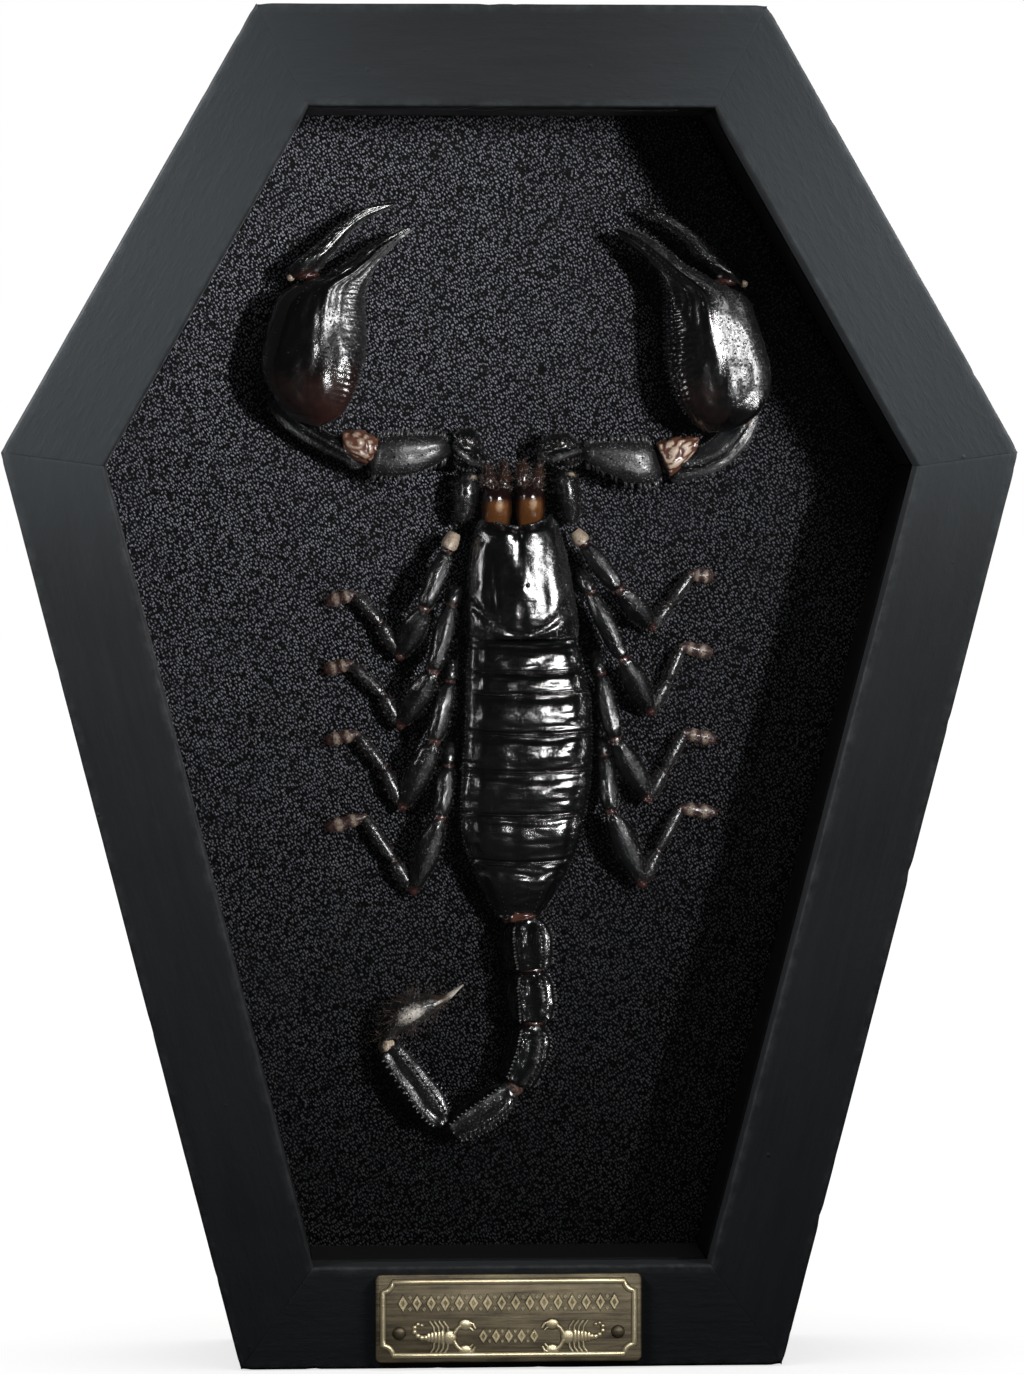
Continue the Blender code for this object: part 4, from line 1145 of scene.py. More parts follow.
def carapaceRelief(u, t, s):
    if s < 0:
        return 0.0
    wide = 0.055 + 0.075 * (1 - ramped(u, 0.0, 0.32))
    groove = -carapace["groove"] * bell(t, 0.0, wide) * (1 - 0.55 * ramped(u, 0.22, 0.40))
    groove *= ramped(u, 0.02, 0.12)
    mound = 0.55 * bell(t, 0.02, 0.10) * bell(u, 0.56, 0.10)
    # lobes beside the groove, a low side furrow, and the V before the rear margin
    lobe = 0.34 * bell(abs(t), 0.34, 0.20) * bell(u, 0.12, 0.20)
    vee = -0.42 * bell(u, 0.95 - 0.34 * abs(t), 0.035) * ramped(abs(t), 0.05, 0.2)
    furrow = -0.28 * bell(abs(t), 0.50 + 0.30 * (0.75 - u), 0.06) * bell(u, 0.62, 0.14)
    rim = 0.04 * bell(abs(t), 0.93, 0.05) + 0.22 * bell(u, 0.0, 0.03)
    relief = groove + mound + lobe + vee + furrow + rim
    spot = Vector((t * 5, u * 9, 1.0))
    return relief + 0.12 * noise.noise(spot) + 0.05 * noise.noise(4 * spot)


def carapaceTint(u, t, s):
    corner = ramped(u, 0.70, 0.95) * ramped(abs(t), 0.35, 0.7)
    side = ramped(abs(t), 0.78, 0.95)
    front = bell(u, 0.0, 0.06)
    beaded = bell(u, 0.93 - 0.34 * abs(t), 0.03)
    # painted sheen: grey, with more roughness, along the right margin and over the right half, towards the
    # key light
    return {"grain": 0.9 * max(corner, 0.6 * side, 0.8 * beaded, front),
            "dust": 0.25 * side * ramped(t, 0, 1) + 0.4 * ramped(t, 0.15, 0.3) * bell(u, 0.5, 0.35)}


def flatTop(u, t):
    # a broader back than an ellipse has
    return 0.8 * ((1 - min(abs(t), 1) ** 4) ** 0.5 - max(0.0, 1 - t * t) ** 0.5)


def buildCarapace():
    body = Body()

    def crown(u, t):
        return carapace["crown"] * flatTop(u, t)

    skin = Skin(carapace["rows"], carapaceRelief, carapaceTint, crown)
    skin.grow(body, 110, 90, 0.3)
    strewn(body, "carapace")
    skin.studRows(body, range(30, 151, 8), 0.0, 0.05, 1, 0.26, 0.7)
    x, z, high = carapace["eyes"]
    middle, front, low = carapace["sideEyes"]
    for side in (-1, 1):
        ball(body, (x + 0.42 * side, z, high), (0.33, 0.4, 0.33))
        for k in range(3):
            ball(body, (middle + side * (5.2 + 0.25 * k), front - 0.75 * k, low), (0.2, 0.24, 0.2))
    skin.studRows(body, (9, 171), 0.1, 0.98, 34, 0.16)
    body.piece("carapace_shield", "black", "black_cuticle", ["carapace"])
    print("carapace")


abdomen = {
    "edges": (104.1, 100.8, 94.5, 88.7, 82.0, 74.7, 66.3), "start": 108.4,
    "profile": (
        (108.4, -5.7, 11.2, 8.2), (104.1, -6.1, 12.2, 8.8), (99.5, -6.3, 13.2, 9.2),
        (93.4, -6.5, 13.4, 9.3), (87.3, -6.9, 13.2, 9.2), (81.2, -7.2, 12.2, 8.8),
        (76.7, -6.2, 11.2, 8.2), (72.0, -4.3, 9.2, 7.2), (69.0, -2.8, 7.4, 6.2), (66.3, -1.2, 5.6, 5.4),
    ),
    # along each plate, how far it stands above the profile
    "arch": ((0.0, -0.80), (0.12, -0.45), (0.35, 0.0), (0.62, 0.14), (0.86, 0.02), (1.0, -0.02)),
    "belly": (107.6, 66.8),
}


def abdomenAt(z):
    profile = abdomen["profile"]
    for (z0, *first), (z1, *second) in zip(profile, profile[1:]):
        if z >= z1:
            part = min((z0 - z) / (z0 - z1), 1.0)
            return [a + (b - a) * part for a, b in zip(first, second)]
    return list(profile[-1][1:])


def buildAbdomen():
    body = Body()
    # the soft flanks and the belly under the plates
    rows = []
    top, foot = abdomen["belly"]
    for k in range(22):
        z = top - k * (top - foot) / 21
        left, right, high = abdomenAt(z)
        rows.append((left + 0.35, z, right - 0.35, z, 0.6, high - 1.0, -0.5))

    def folds(u, t, s):
        seed = Vector((u * 60, t * 2, s * 3))
        return 0.16 * math.sin(u * 210 + 3 * t) * ramped(abs(t), 0.6, 0.95) + 0.12 * noise.noise(seed)

    def flank(u, t, s):
        light = 0.75 * bell(u, 0.66, 0.10) * ramped(-t, 0.5, 0.9)
        return {"warm": 0.45, "pale": 0.8 * light, "dust": 0.2}

    Skin(rows, folds, flank).grow(body, 120, 36, 0.2)
    start = abdomen["start"]
    for number, edge in enumerate(abdomen["edges"]):
        last = number == 6
        span = start - edge
        front = start + min(0.9, span * 0.15)
        rows = []
        for part, rise in abdomen["arch"]:
            z = front + (edge - front) * part
            left, right, high = abdomenAt(z)
            low = 3.0 if not last else 1.0
            rows.append((left - 0.05, z, right + 0.05, z, low, high + rise, -0.5 if not last else -0.9))

        def tergite(u, t, s, number=number):
            if s < 0:
                return 0.0
            rim = 0.20 * bell(u, 0.965, 0.03) + 0.06 * bell(u, 0.80, 0.05)
            dip = -0.22 * bell(u, 0.885, 0.035)
            across = -0.16 * bell(u, 0.28 + 0.03 * math.sin(5 * t), 0.05) * (1 - 0.5 * abs(t))
            keel = 0.10 * bell(t, 0.0, 0.10) * bell(u, 0.6, 0.25)
            side = -0.22 * bell(abs(t), 0.80, 0.06) * bell(u, 0.5, 0.35)
            seed = Vector((t * 4 + number * 9, u * 2.5, 0.0))
            creases = 0.12 * noise.noise(Vector((t * 4 + number * 5, u * 13, 1.0)))
            creases += 0.04 * noise.noise(Vector((t * 14, u * 34, number)))
            return rim + dip + across + keel + side + creases + 0.17 * noise.noise(seed)

        def tint(u, t, s, number=number):
            rubbed = 0.5 * ramped(abs(t), 0.72, 0.95) + 0.18 * ramped(u, 0.8, 0.98)
            return {"grain": rubbed * (s > 0), "warm": 0.15 * ramped(u, 0.8, 1.0),
                    "pale": 0.4 * bell(u, 1.0, 0.02) * (number == 1), "dust": 0.15 * ramped(t, 0.6, 0.9)}

        skin = Skin(rows, tergite, tint, flatTop)
        skin.grow(body, max(26, int(span * 6)), 72, 0.32)
        count = max(5, int(span * 1.6))
        skin.studRows(body, (14,), 0.2, 0.95, count, 0.18)
        skin.studRows(body, (166,), 0.2, 0.95, count, 0.22)
        if last:
            skin.studRows(body, (60, 80, 100, 120), 0.35, 0.95, 9, 0.2)
        start = edge
    strewn(body, "abdomen")
    body.piece("abdomen_plates", "black", "black_cuticle", ["abdomen"])
    print("abdomen")


jaws = {
    "places": (("left", -1.3, 127.4, 1), ("right", 3.8, 127.7, -1)),  # x, z and the way inwards
    # from a jaw's own place: left x and z, right x and z, low and high
    "rows": ((-2.0, -1.6, 2.0, -1.6, 3.0, 5.2), (-2.35, 0.6, 2.35, 0.6, 2.8, 7.5),
             (-2.35, 2.4, 2.35, 2.4, 2.6, 8.4), (-2.2, 3.8, 2.2, 3.8, 2.8, 8.2),
             (-1.7, 5.0, 1.8, 5.0, 3.0, 7.2)),
    # a finger's x outwards, z, height, half width and half thickness, and the tip's
    "finger": ((0.9, 4.7, 5.8, 1.15, 1.7), (1.2, 6.3, 5.6, 1.05, 1.5), (1.15, 7.6, 5.2, 0.75, 1.1)),
    "tip": (0.65, 8.7, 4.8, 0.2, 0.3),
    "paintedGleam": 0.8,
}


def jawTint(u, t, s):
    # the amber fades to dark at the top, its own colour, and towards the sides, as painted shade
    base = (1.0 - ramped(u, 0.40, 0.66)) * (1 - 0.8 * ramped(abs(t), 0.45, 0.9))
    # painted highlight: a pale gleam a little right of the middle, on top
    paintedGleam = bell(t, 0.15, 0.28) * bell(u, 0.42, 0.15) * (s > 0)
    return {"warm": 0.05 + 0.95 * base, "pale": jaws["paintedGleam"] * paintedGleam,
            "hairy": ramped(u, 0.72, 0.92), "grain": 0.5 * ramped(u, 0.7, 0.9)}


def jawFingerTint(u, t, s):
    return {"warm": 0.22, "hairy": 1.0, "grain": 1.0}


def buildChelicerae():
    for name, x, z, inner in jaws["places"]:
        body = Body()

        def jawRelief(u, t, s):
            return 0.07 * noise.noise(Vector((t * 3, u * 4, s)))

        rows = [(x + a, z + b, x + c, z + d, *heights) for a, b, c, d, *heights in jaws["rows"]]
        Skin(rows, jawRelief, jawTint).grow(body, 44, 40, 0.4)
        for side, size in ((inner, 1.0), (-inner, 0.85)):
            out, ahead, *thin = jaws["tip"]
            finger = [(x + side * a, z + b, *rest) for a, b, *rest in jaws["finger"]]
            finger.append((x + side * out, z + ahead * size, *thin))

            def fingerRelief(u, t, s, side=side):
                return 0.22 * noise.noise(Vector((u * 9, t * 3, s + side)))

            Skin(limbRows(finger), fingerRelief, jawFingerTint).grow(body, 26, 20, 0.1)
        strewn(body, "jaw", int(x))
        body.piece("chelicera_jaw_" + name, "amber", "amber_cuticle", ["chelicera_" + name])
    print("chelicerae")


pedipalps = {
    "left": {
        "coxa": [(-7.6, 126.8, -4.9, 127.4, 1.2, 5.0), (-7.9, 129.6, -4.0, 129.8, 0.8, 6.0),
                 (-7.7, 132.4, -3.8, 132.4, 1.0, 6.0), (-6.9, 134.0, -4.4, 134.0, 1.6, 5.2)],
        "trochanter": [(-3.3, 138.2, -3.6, 135.8, 2.0, 5.4), (-4.9, 141.2, -5.4, 134.6, 1.2, 7.0),
                       (-7.0, 141.0, -7.3, 135.2, 1.4, 7.0), (-8.0, 139.6, -8.0, 136.4, 2.2, 5.8)],
        "femur": [(-8.5, 138.8, -8.4, 136.9, 2.4, 5.6), (-9.8, 139.9, -10.5, 135.7, 1.4, 7.4),
                  (-13.0, 140.1, -13.8, 134.2, 0.9, 8.2), (-16.2, 140.1, -17.0, 133.7, 0.9, 8.4),
                  (-18.6, 139.8, -19.8, 134.0, 1.2, 7.6), (-19.9, 138.9, -20.9, 134.9, 2.0, 6.2)],
        "patella": [(-20.4, 139.4, -21.4, 135.6, 2.2, 5.2), (-22.4, 139.6, -22.2, 135.6, 1.6, 5.4),
                    (-25.4, 139.8, -23.4, 135.4, 0.9, 6.6), (-27.4, 140.6, -26.2, 136.9, 0.8, 6.0),
                    (-29.4, 142.2, -30.0, 138.8, 0.8, 4.4), (-31.8, 144.0, -34.0, 141.8, 0.8, 4.2),
                    (-33.6, 146.0, -36.2, 145.0, 1.0, 3.8)],
        "hand": [(-32.6, 142.6, -28.2, 141.4, 5.0, 8.0), (-34.0, 143.8, -25.6, 142.6, 4.9, 9.8),
                 (-35.8, 146.4, -23.6, 145.4, 4.7, 11.0), (-37.0, 149.6, -22.0, 149.4, 2.6, 11.4),
                 (-36.8, 154.1, -21.1, 154.4, 1.2, 11.2), (-35.8, 158.6, -21.3, 159.3, 1.2, 10.9),
                 (-33.6, 162.2, -21.2, 162.6, 1.6, 10.2), (-27.4, 164.6, -20.3, 164.6, 2.4, 9.3),
                 (-24.2, 166.4, -19.2, 166.2, 2.8, 8.5), (-21.4, 168.6, -17.8, 167.8, 3.2, 7.5),
                 (-17.6, 170.6, -15.9, 169.9, 3.8, 6.2), (-14.8, 171.7, -14.3, 171.2, 4.4, 5.6)],
        "finger": [(-33.3, 163.7, -27.6, 165.7, 2.6, 6.6), (-32.6, 166.2, -27.2, 167.0, 2.2, 7.4),
                   (-29.7, 168.5, -25.8, 168.4, 2.4, 7.0), (-27.5, 170.5, -24.5, 170.1, 2.8, 6.6),
                   (-25.4, 172.3, -23.0, 171.7, 3.2, 6.2), (-21.9, 174.7, -20.7, 173.3, 3.6, 5.8),
                   (-17.3, 175.5, -17.1, 174.9, 4.2, 5.2)],
        "membrane": [(-24.9, 140.6, -24.6, 137.2, 4.2, 7.4), (-23.0, 140.9, -22.6, 136.2, 4.0, 8.0),
                     (-21.0, 140.5, -21.0, 135.8, 3.8, 7.6), (-19.4, 139.6, -20.0, 136.6, 3.6, 6.8)],
    },
    "right": {
        "coxa": [(9.0, 127.4, 11.4, 126.6, 1.2, 5.0), (8.0, 130.4, 11.8, 130.2, 0.8, 6.0),
                 (7.6, 133.0, 11.4, 132.8, 1.0, 6.0), (8.0, 134.6, 10.6, 134.4, 1.6, 5.2)],
        "trochanter": [(5.2, 138.6, 5.2, 136.6, 2.0, 5.4), (7.2, 140.3, 7.4, 135.4, 1.2, 7.0),
                       (9.8, 140.4, 10.2, 135.2, 1.4, 7.0), (11.5, 138.8, 11.6, 135.8, 2.2, 5.8)],
        "femur": [(12.0, 138.0, 12.1, 136.2, 2.4, 5.6), (13.6, 138.8, 13.6, 135.4, 1.4, 7.4),
                  (16.6, 139.1, 16.6, 133.8, 0.9, 8.2), (19.6, 139.1, 20.2, 132.6, 0.9, 8.4),
                  (21.7, 139.0, 23.0, 132.8, 1.2, 7.6), (22.6, 138.2, 24.1, 133.8, 2.0, 6.2)],
        "patella": [(23.1, 138.7, 24.6, 134.2, 2.2, 5.2), (25.6, 138.7, 25.6, 133.9, 1.6, 5.4),
                    (28.2, 138.3, 26.6, 133.2, 0.9, 6.6), (30.2, 138.4, 30.0, 133.8, 0.8, 6.0),
                    (32.2, 139.6, 34.0, 135.3, 0.8, 4.4), (34.2, 141.4, 37.4, 138.8, 0.8, 4.2),
                    (36.2, 144.0, 39.3, 142.8, 1.0, 3.8)],
        "hand": [(30.2, 140.6, 34.8, 140.8, 5.0, 8.0), (28.3, 142.4, 37.4, 142.2, 4.9, 9.8),
                 (26.4, 145.0, 39.8, 145.2, 4.7, 11.0), (25.1, 148.8, 40.7, 149.0, 2.6, 11.4),
                 (24.5, 153.4, 39.9, 153.6, 1.2, 11.2), (24.3, 158.0, 38.5, 158.2, 1.2, 10.9),
                 (24.3, 161.6, 36.9, 161.2, 1.6, 10.2), (23.5, 164.2, 31.2, 164.2, 2.4, 9.3),
                 (22.1, 166.0, 27.4, 166.4, 2.8, 8.5), (20.3, 168.0, 24.4, 168.8, 3.2, 7.5),
                 (18.3, 169.8, 20.8, 171.0, 3.8, 6.2), (17.0, 171.2, 17.6, 171.7, 4.4, 5.6)],
        "finger": [(31.4, 165.3, 37.2, 162.5, 2.6, 6.6), (30.4, 166.5, 36.1, 164.3, 2.2, 7.4),
                   (29.0, 167.9, 33.0, 167.1, 2.4, 7.0), (27.9, 169.5, 31.0, 169.3, 2.8, 6.6),
                   (26.3, 171.1, 28.6, 171.5, 3.2, 6.2), (23.6, 172.9, 24.9, 173.9, 3.6, 5.8),
                   (21.2, 174.7, 21.5, 175.2, 4.2, 5.2)],
        "membrane": [(23.2, 138.9, 24.8, 134.4, 3.8, 7.0), (24.8, 139.4, 25.4, 133.9, 4.0, 7.8),
                     (27.2, 139.8, 27.0, 135.2, 4.2, 7.8), (29.6, 139.8, 29.2, 137.6, 4.2, 7.0)],
    },
}


hand = {
    # keels from the wrist to the finger: where across they start and end, and how high
    "keels": ((0.20, 0.02, 0.46), (0.48, 0.30, 0.32), (0.90, 0.72, 0.30), (-0.30, -0.40, 0.24)),
    "keelWidth": 0.06, "ripples": 0.17, "lobes": 0.42, "rough": 0.12, "paintedSheen": 0.6, "slope": 0.34,
    # studs along the keels: angle, start and stop
    "studs": ((80, 0.48, 0.95), (100, 0.5, 0.95), (125, 0.42, 0.9), (60, 0.45, 0.85)),
}


# The parts of one arm, each a piece of its own. On the hand the fixed finger lies inwards.
def buildPedipalp(side):
    rows = pedipalps[side]
    left = side == "left"
    inward = 1 if left else -1
    innerEdge = 174 if left else 6
    name = f"pedipalp_{side}_"

    def finish(body, part, label):
        body.piece(name + label, "black", "black_cuticle", [name + part])

    def coxaRelief(u, t, s):
        return 0.15 * noise.noise(Vector((u * 9, t * 4.5, s * 2)))

    def coxaTint(u, t, s):
        return {"grain": 0.7, "dust": 0.25, "hairy": 0.6, "warm": 0.12,
                "pale": 0.8 * bell(u, 0.9, 0.1) * ramped(t, 0, 0.6)}

    body = Body()
    Skin(rows["coxa"], coxaRelief, coxaTint).grow(body, 26, 26)
    strewn(body, "coxa")
    finish(body, "coxa", "coxa_plate")

    def trochanterRelief(u, t, s):
        # a diagonal ridge between two hollows
        ridge = 0.75 * bell(t, 0.35 - 1.1 * (u - 0.5), 0.13)
        hollow = -0.55 * bell(t, -0.15 - 1.1 * (u - 0.5), 0.25)
        return (ridge + hollow) * (s > 0) + 0.35 * noise.noise(Vector((u * 5, t * 3, s)))

    def trochanterTint(u, t, s):
        # painted highlight: the top of the diagonal ridge is painted grey to pale
        ridge = bell(t, 0.35 - 1.1 * (u - 0.5), 0.11)
        return {"grain": 0.7, "dust": 0.1 + 1.5 * ridge * (s > 0), "warm": 0.1}

    body = Body()
    skin = Skin(rows["trochanter"], trochanterRelief, trochanterTint)
    skin.grow(body, 50, 44)
    # the studs are painted pale, as glints
    skin.studRows(body, (20, 60, 120, 160), 0.08, 0.92, 9, 0.34, dust=1.3)
    strewn(body, "trochanter")
    finish(body, "trochanter", "trochanter_knob")

    def femurRelief(u, t, s):
        if s < 0:
            return 0.0
        keels = 0.30 * bell(abs(t), 0.86, 0.08) * ramped(u, 0.03, 0.2) * (1 - ramped(u, 0.85, 1.0))
        hollow = -0.26 * bell(t, 0.1, 0.45) * bell(u, 0.5, 0.4)
        return keels + hollow + 0.09 * noise.noise(Vector((u * 9, t * 4, 2.0)))

    def femurTint(u, t, s):
        # painted sheen: the top is painted grey, a little pale where strongest
        topPaintedSheen = 1.08 * (s > 0) * bell(u, 0.5, 0.55) * (1 - 0.5 * ramped(abs(t), 0.6, 0.95))
        return {"grain": 0.25 + 0.6 * bell(abs(t), 0.8, 0.2), "dust": topPaintedSheen,
                "warm": 0.4 * ramped(u, 0.94, 1.0)}

    body = Body()
    skin = Skin(rows["femur"], femurRelief, femurTint, flatTop)
    skin.grow(body, 80, 48)
    # the teeth along both edges are painted pale, as glints
    skin.studRows(body, (11, 169), 0.05, 0.95, 15, 0.92, 0.40, blunt=0.4, jitter=0.25, sides=8, dust=2.0)
    skin.studRows(body, (28, 152), 0.1, 0.9, 16, 0.26, dust=0.8)
    strewn(body, "femur")
    finish(body, "femur", "femur_toothed")

    def patellaRelief(u, t, s):
        keel = 0.45 * bell(t, 0.0, 0.14) * (s > 0) * ramped(u, 0.08, 0.2)
        edge = 0.35 * bell(abs(t), 0.85, 0.09) + 0.5 * bell(t, 0.74, 0.10) * (s > 0)
        return keel + edge + 0.30 * noise.noise(Vector((u * 9, t * 3, s)))

    def patellaTint(u, t, s):
        # painted highlight: pale along a ridge near one edge and along the keel, on top
        ridges = (1.6 * bell(t, 0.72, 0.16) + 0.7 * bell(t, 0.0, 0.15)) * (s > 0)
        return {"grain": 0.8, "dust": 0.15 + ridges, "warm": 0.35 * bell(u, 0.25, 0.08),
                "pale": 0.45 * bell(u, 0.96, 0.06) * (not left) * (t > 0)}

    body = Body()
    skin = Skin(rows["patella"], patellaRelief, patellaTint)
    skin.grow(body, 90, 40)
    # the studs at 172 and 90 degrees are painted pale, as glints; those at 25 degrees are greyed
    skin.studRows(body, (172,), 0.10, 0.97, 27, 0.55, 0.5, dust=1.8)
    skin.studRows(body, (25,), 0.3, 0.95, 18, 0.30, dust=0.8)
    skin.studRows(body, (90,), 0.10, 0.97, 26, 0.32, dust=1.6)
    strewn(body, "patella")
    finish(body, "patella", "patella_keeled")

    def handRelief(u, t, s):
        if s < -0.2:
            return 0.0
        inner = t * inward
        keels = 0.0
        for start, stop, size in hand["keels"]:
            middle = start + (stop - start) * u
            keels += size * bell(inner, middle, hand["keelWidth"]) * ramped(u, 0.30, 0.58)
        # fine ripples across the inner edge
        ripples = hand["ripples"] * math.sin(u * 300 + 9 * inner) * bell(inner, 0.86, 0.22)
        ripples *= bell(u, 0.40, 0.18)
        seed = Vector((t * 2.2, u * 5, 4.0))
        lobes = hand["lobes"] * noise.noise(seed) * (1 - ramped(u, 0.6, 0.9))
        lobes += hand["rough"] * noise.noise(seed * 4.1)
        return keels + ripples + lobes

    def handTint(u, t, s):
        inner = t * inward
        low = 1 - ramped(u, 0.18, 0.40)
        # facing: the side towards the key light, which gets a painted grey sheen, more roughness and more
        # granules
        facing = ramped(u - 0.12 * left, 0.10, 0.26) * ramped(t, 0.0, 0.2)
        warm = 0.50 * low * (0.45 + 0.55 * ramped(inner, -0.6, 0.6)) * (0.45 + 0.55 * left)
        grain = 0.05 + 0.7 * facing + 0.4 * ramped(abs(t), 0.75, 0.95)
        return {"warm": warm, "grain": grain, "dust": hand["paintedSheen"] * facing}

    def facet(u, t):
        # the side to the viewer's right lies as one sloping face, the other side is round
        if t < 0:
            return 0.35 * ((1 - t ** 4) ** 0.5 - (1 - t * t) ** 0.5)
        square = (1 - min(t, 1.0) ** 10) ** 0.5 - max(0.0, 1 - t * t) ** 0.5
        start = 0.50 - 0.25 * t if left else 0.18
        slope = hand["slope"] * max(0.0, t - 0.12) * ramped(u, start - 0.05, start + 0.05)
        return (square - slope) * (1 - 0.6 * ramped(u, 0.75, 1.0))

    body = Body()
    skin = Skin(rows["hand"], handRelief, handTint, facet)
    skin.grow(body, 210, 84, 0.4)
    skin.studRows(body, (innerEdge,), 0.12, 0.62, 30, 0.32, dust=0.9)
    skin.studRows(body, [innerEdge - inward * offset for offset in (14, 26)], 0.2, 0.66, 24, 0.26)
    skin.studRows(body, (180 - innerEdge,), 0.64, 0.97, 22, 0.34)
    for angle, start, stop in hand["studs"]:
        skin.studRows(body, (angle,), start, stop, 24, 0.19, 0.65, jitter=0.5)
    strewn(body, "hand")
    finish(body, "hand", "hand_claw")

    def fingerRelief(u, t, s):
        keels = 0.30 * bell(abs(t), 0.45, 0.10) + 0.22 * bell(t * inward, 0.9, 0.1)
        keels = keels * (s > 0) * ramped(u, 0.08, 0.25) * (1 - ramped(u, 0.85, 1.0))
        return keels + 0.06 * noise.noise(Vector((u * 14, t * 3, s)))

    def fingerTint(u, t, s):
        return {"grain": 0.5 + 0.5 * ramped(t * inward, 0.5, 0.9), "warm": 0.5 * (1 - ramped(u, 0.0, 0.10)),
                "dust": 0.12 + 0.5 * ramped(t * inward, 0.45, 0.9), "hairy": 0.4}

    body = Body()
    skin = Skin(rows["finger"], fingerRelief, fingerTint)
    skin.grow(body, 90, 40, 0.35)
    skin.studRows(body, (innerEdge,), 0.15, 0.96, 24, 0.38, dust=0.9)
    skin.studRows(body, (60, 120), 0.15, 0.9, 20, 0.22, 0.65)
    strewn(body, "finger")
    # the condyle on which the finger turned
    a, b = Vector(rows["finger"][0][:2]), Vector(rows["finger"][0][2:4])
    x, z = a.lerp(b, 0.5)
    ball(body, (x, z - 0.3, 5.0), (2.2, 0.7, 1.2), {"warm": 1.0, "grain": 1.0})
    ball(body, (x - 2.3 * inward, z - 0.7, 5.4), (0.62, 0.55, 0.55), {"pale": 0.62})
    # a small knob painted pale as a glint
    ball(body, (x + 1.5 * inward, z + 0.4, 6.0), (0.5, 0.35, 0.45), {"pale": 0.6, "dust": 1.3})
    finish(body, "finger", "finger_free")


# The crumpled skin of a joint.
def foldedSkin(u, t, s):
    fold = abs(noise.noise(Vector((u * 3.4, t * 2.6, s))))
    return 1.1 * min(fold, 0.35) - 0.25


def foldedTint(light):
    def tint(u, t, s):
        fold = abs(noise.noise(Vector((u * 3.4, t * 2.6, s))))
        # painted light and shade: pale on the crests of the folds and dark in the creases; it also stays
        # darker towards its edges
        rim = max(ramped(abs(t), 0.72, 0.95), ramped(abs(u - 0.5), 0.36, 0.5))
        return {"warm": 0.9, "pale": light * ramped(fold, 0.06, 0.28) * (1 - rim)}
    return tint


membranes = Body()


def buildPedipalps():
    for side in ("left", "right"):
        buildPedipalp(side)
        light = 0.95 if side == "right" else 0.62
        Skin(pedipalps[side]["membrane"], foldedSkin, foldedTint(light)).grow(membranes, 50, 50, 0.3)
    print("pedipalps")


# A leg's articles: places along each, with half width and half thickness.
legArticles = (
    ((0.0, 0.8, 1.1), (0.25, 1.1, 1.5), (0.7, 1.3, 1.6), (0.95, 1.0, 1.3)),
    ((0.03, 0.75, 1.0), (0.12, 1.1, 1.5), (0.35, 1.5, 1.9), (0.7, 1.5, 1.9), (0.9, 1.2, 1.5),
     (0.97, 0.8, 1.0)),
    ((0.02, 0.8, 1.0), (0.12, 1.35, 1.5), (0.35, 2.0, 1.8), (0.62, 1.95, 1.7), (0.84, 1.35, 1.2),
     (0.99, 0.8, 0.8)),
    ((0.03, 0.6, 0.6), (0.18, 0.95, 0.85), (0.5, 1.2, 1.0), (0.85, 1.05, 0.9), (0.97, 0.75, 0.6)),
    ((0.03, 0.6, 0.55), (0.2, 0.9, 0.8), (0.7, 1.0, 0.85), (0.97, 0.7, 0.6)),
    ((0.03, 0.6, 0.5), (0.3, 1.05, 0.75), (0.5, 0.85, 0.7), (0.72, 1.1, 0.75), (0.95, 0.65, 0.5)),
)
# for each article: how red-brown and how dusty it is, and the size of the joint after it
legSkin = {"warm": (0.1, 0.0, 0.0, 0.05, 0.12, 0.85), "dust": (0.2, 0.14, 0.14, 0.45, 0.45, 0.3),
           "joint": (1.0, 1.0, 0.8, 0.55, 0.5), "paintedSheen": 1.0, "claw": 0.17}
legs = {
    "right_1": ((10.6, 125.4, 4.5), (12.1, 123.4, 5.5), (17.5, 116.4, 6.6), (22.8, 110.6, 2.6),
                (25.5, 114.1, 2.4), (28.8, 118.6, 1.9), (32.3, 118.2, 1.2)),
    "right_2": ((11.5, 119.2, 4.5), (13.0, 116.1, 5.5), (18.1, 105.7, 6.6), (22.6, 97.6, 2.6),
                (25.1, 102.1, 2.4), (27.4, 107.5, 1.9), (32.2, 106.5, 1.2)),
    "right_3": ((13.6, 106.6, 3.6), (14.6, 103.6, 4.6), (16.9, 93.4, 5.8), (22.2, 84.1, 2.6),
                (24.8, 88.7, 2.4), (27.8, 94.2, 1.9), (32.7, 93.1, 1.2)),
    "right_4": ((14.8, 93.6, 3.0), (15.2, 91.1, 4.0), (16.2, 82.4, 5.6), (21.3, 71.0, 2.6),
                (23.7, 76.1, 2.4), (27.2, 82.6, 1.9), (32.8, 81.8, 1.2)),
    "left_1": ((-7.6, 125.2, 4.5), (-8.9, 122.5, 5.5), (-12.5, 113.5, 6.6), (-16.0, 106.2, 2.6),
               (-19.1, 111.3, 2.4), (-22.9, 115.7, 1.9), (-27.2, 114.5, 1.2)),
    "left_2": ((-7.4, 116.9, 4.5), (-8.2, 114.4, 5.5), (-11.1, 103.9, 6.6), (-16.0, 95.6, 2.6),
               (-18.6, 100.2, 2.4), (-23.5, 105.0, 1.9), (-27.6, 104.0, 1.2)),
    "left_3": ((-7.9, 105.6, 3.6), (-8.5, 102.6, 4.6), (-10.9, 93.2, 5.8), (-15.7, 83.0, 2.6),
               (-18.5, 89.0, 2.4), (-22.6, 94.2, 1.9), (-27.3, 93.1, 1.2)),
    "left_4": ((-8.3, 93.0, 3.0), (-8.7, 89.6, 4.0), (-10.0, 81.6, 5.6), (-14.0, 70.1, 2.6),
               (-17.0, 74.7, 2.4), (-21.5, 81.4, 1.9), (-27.2, 79.7, 1.2)),
}


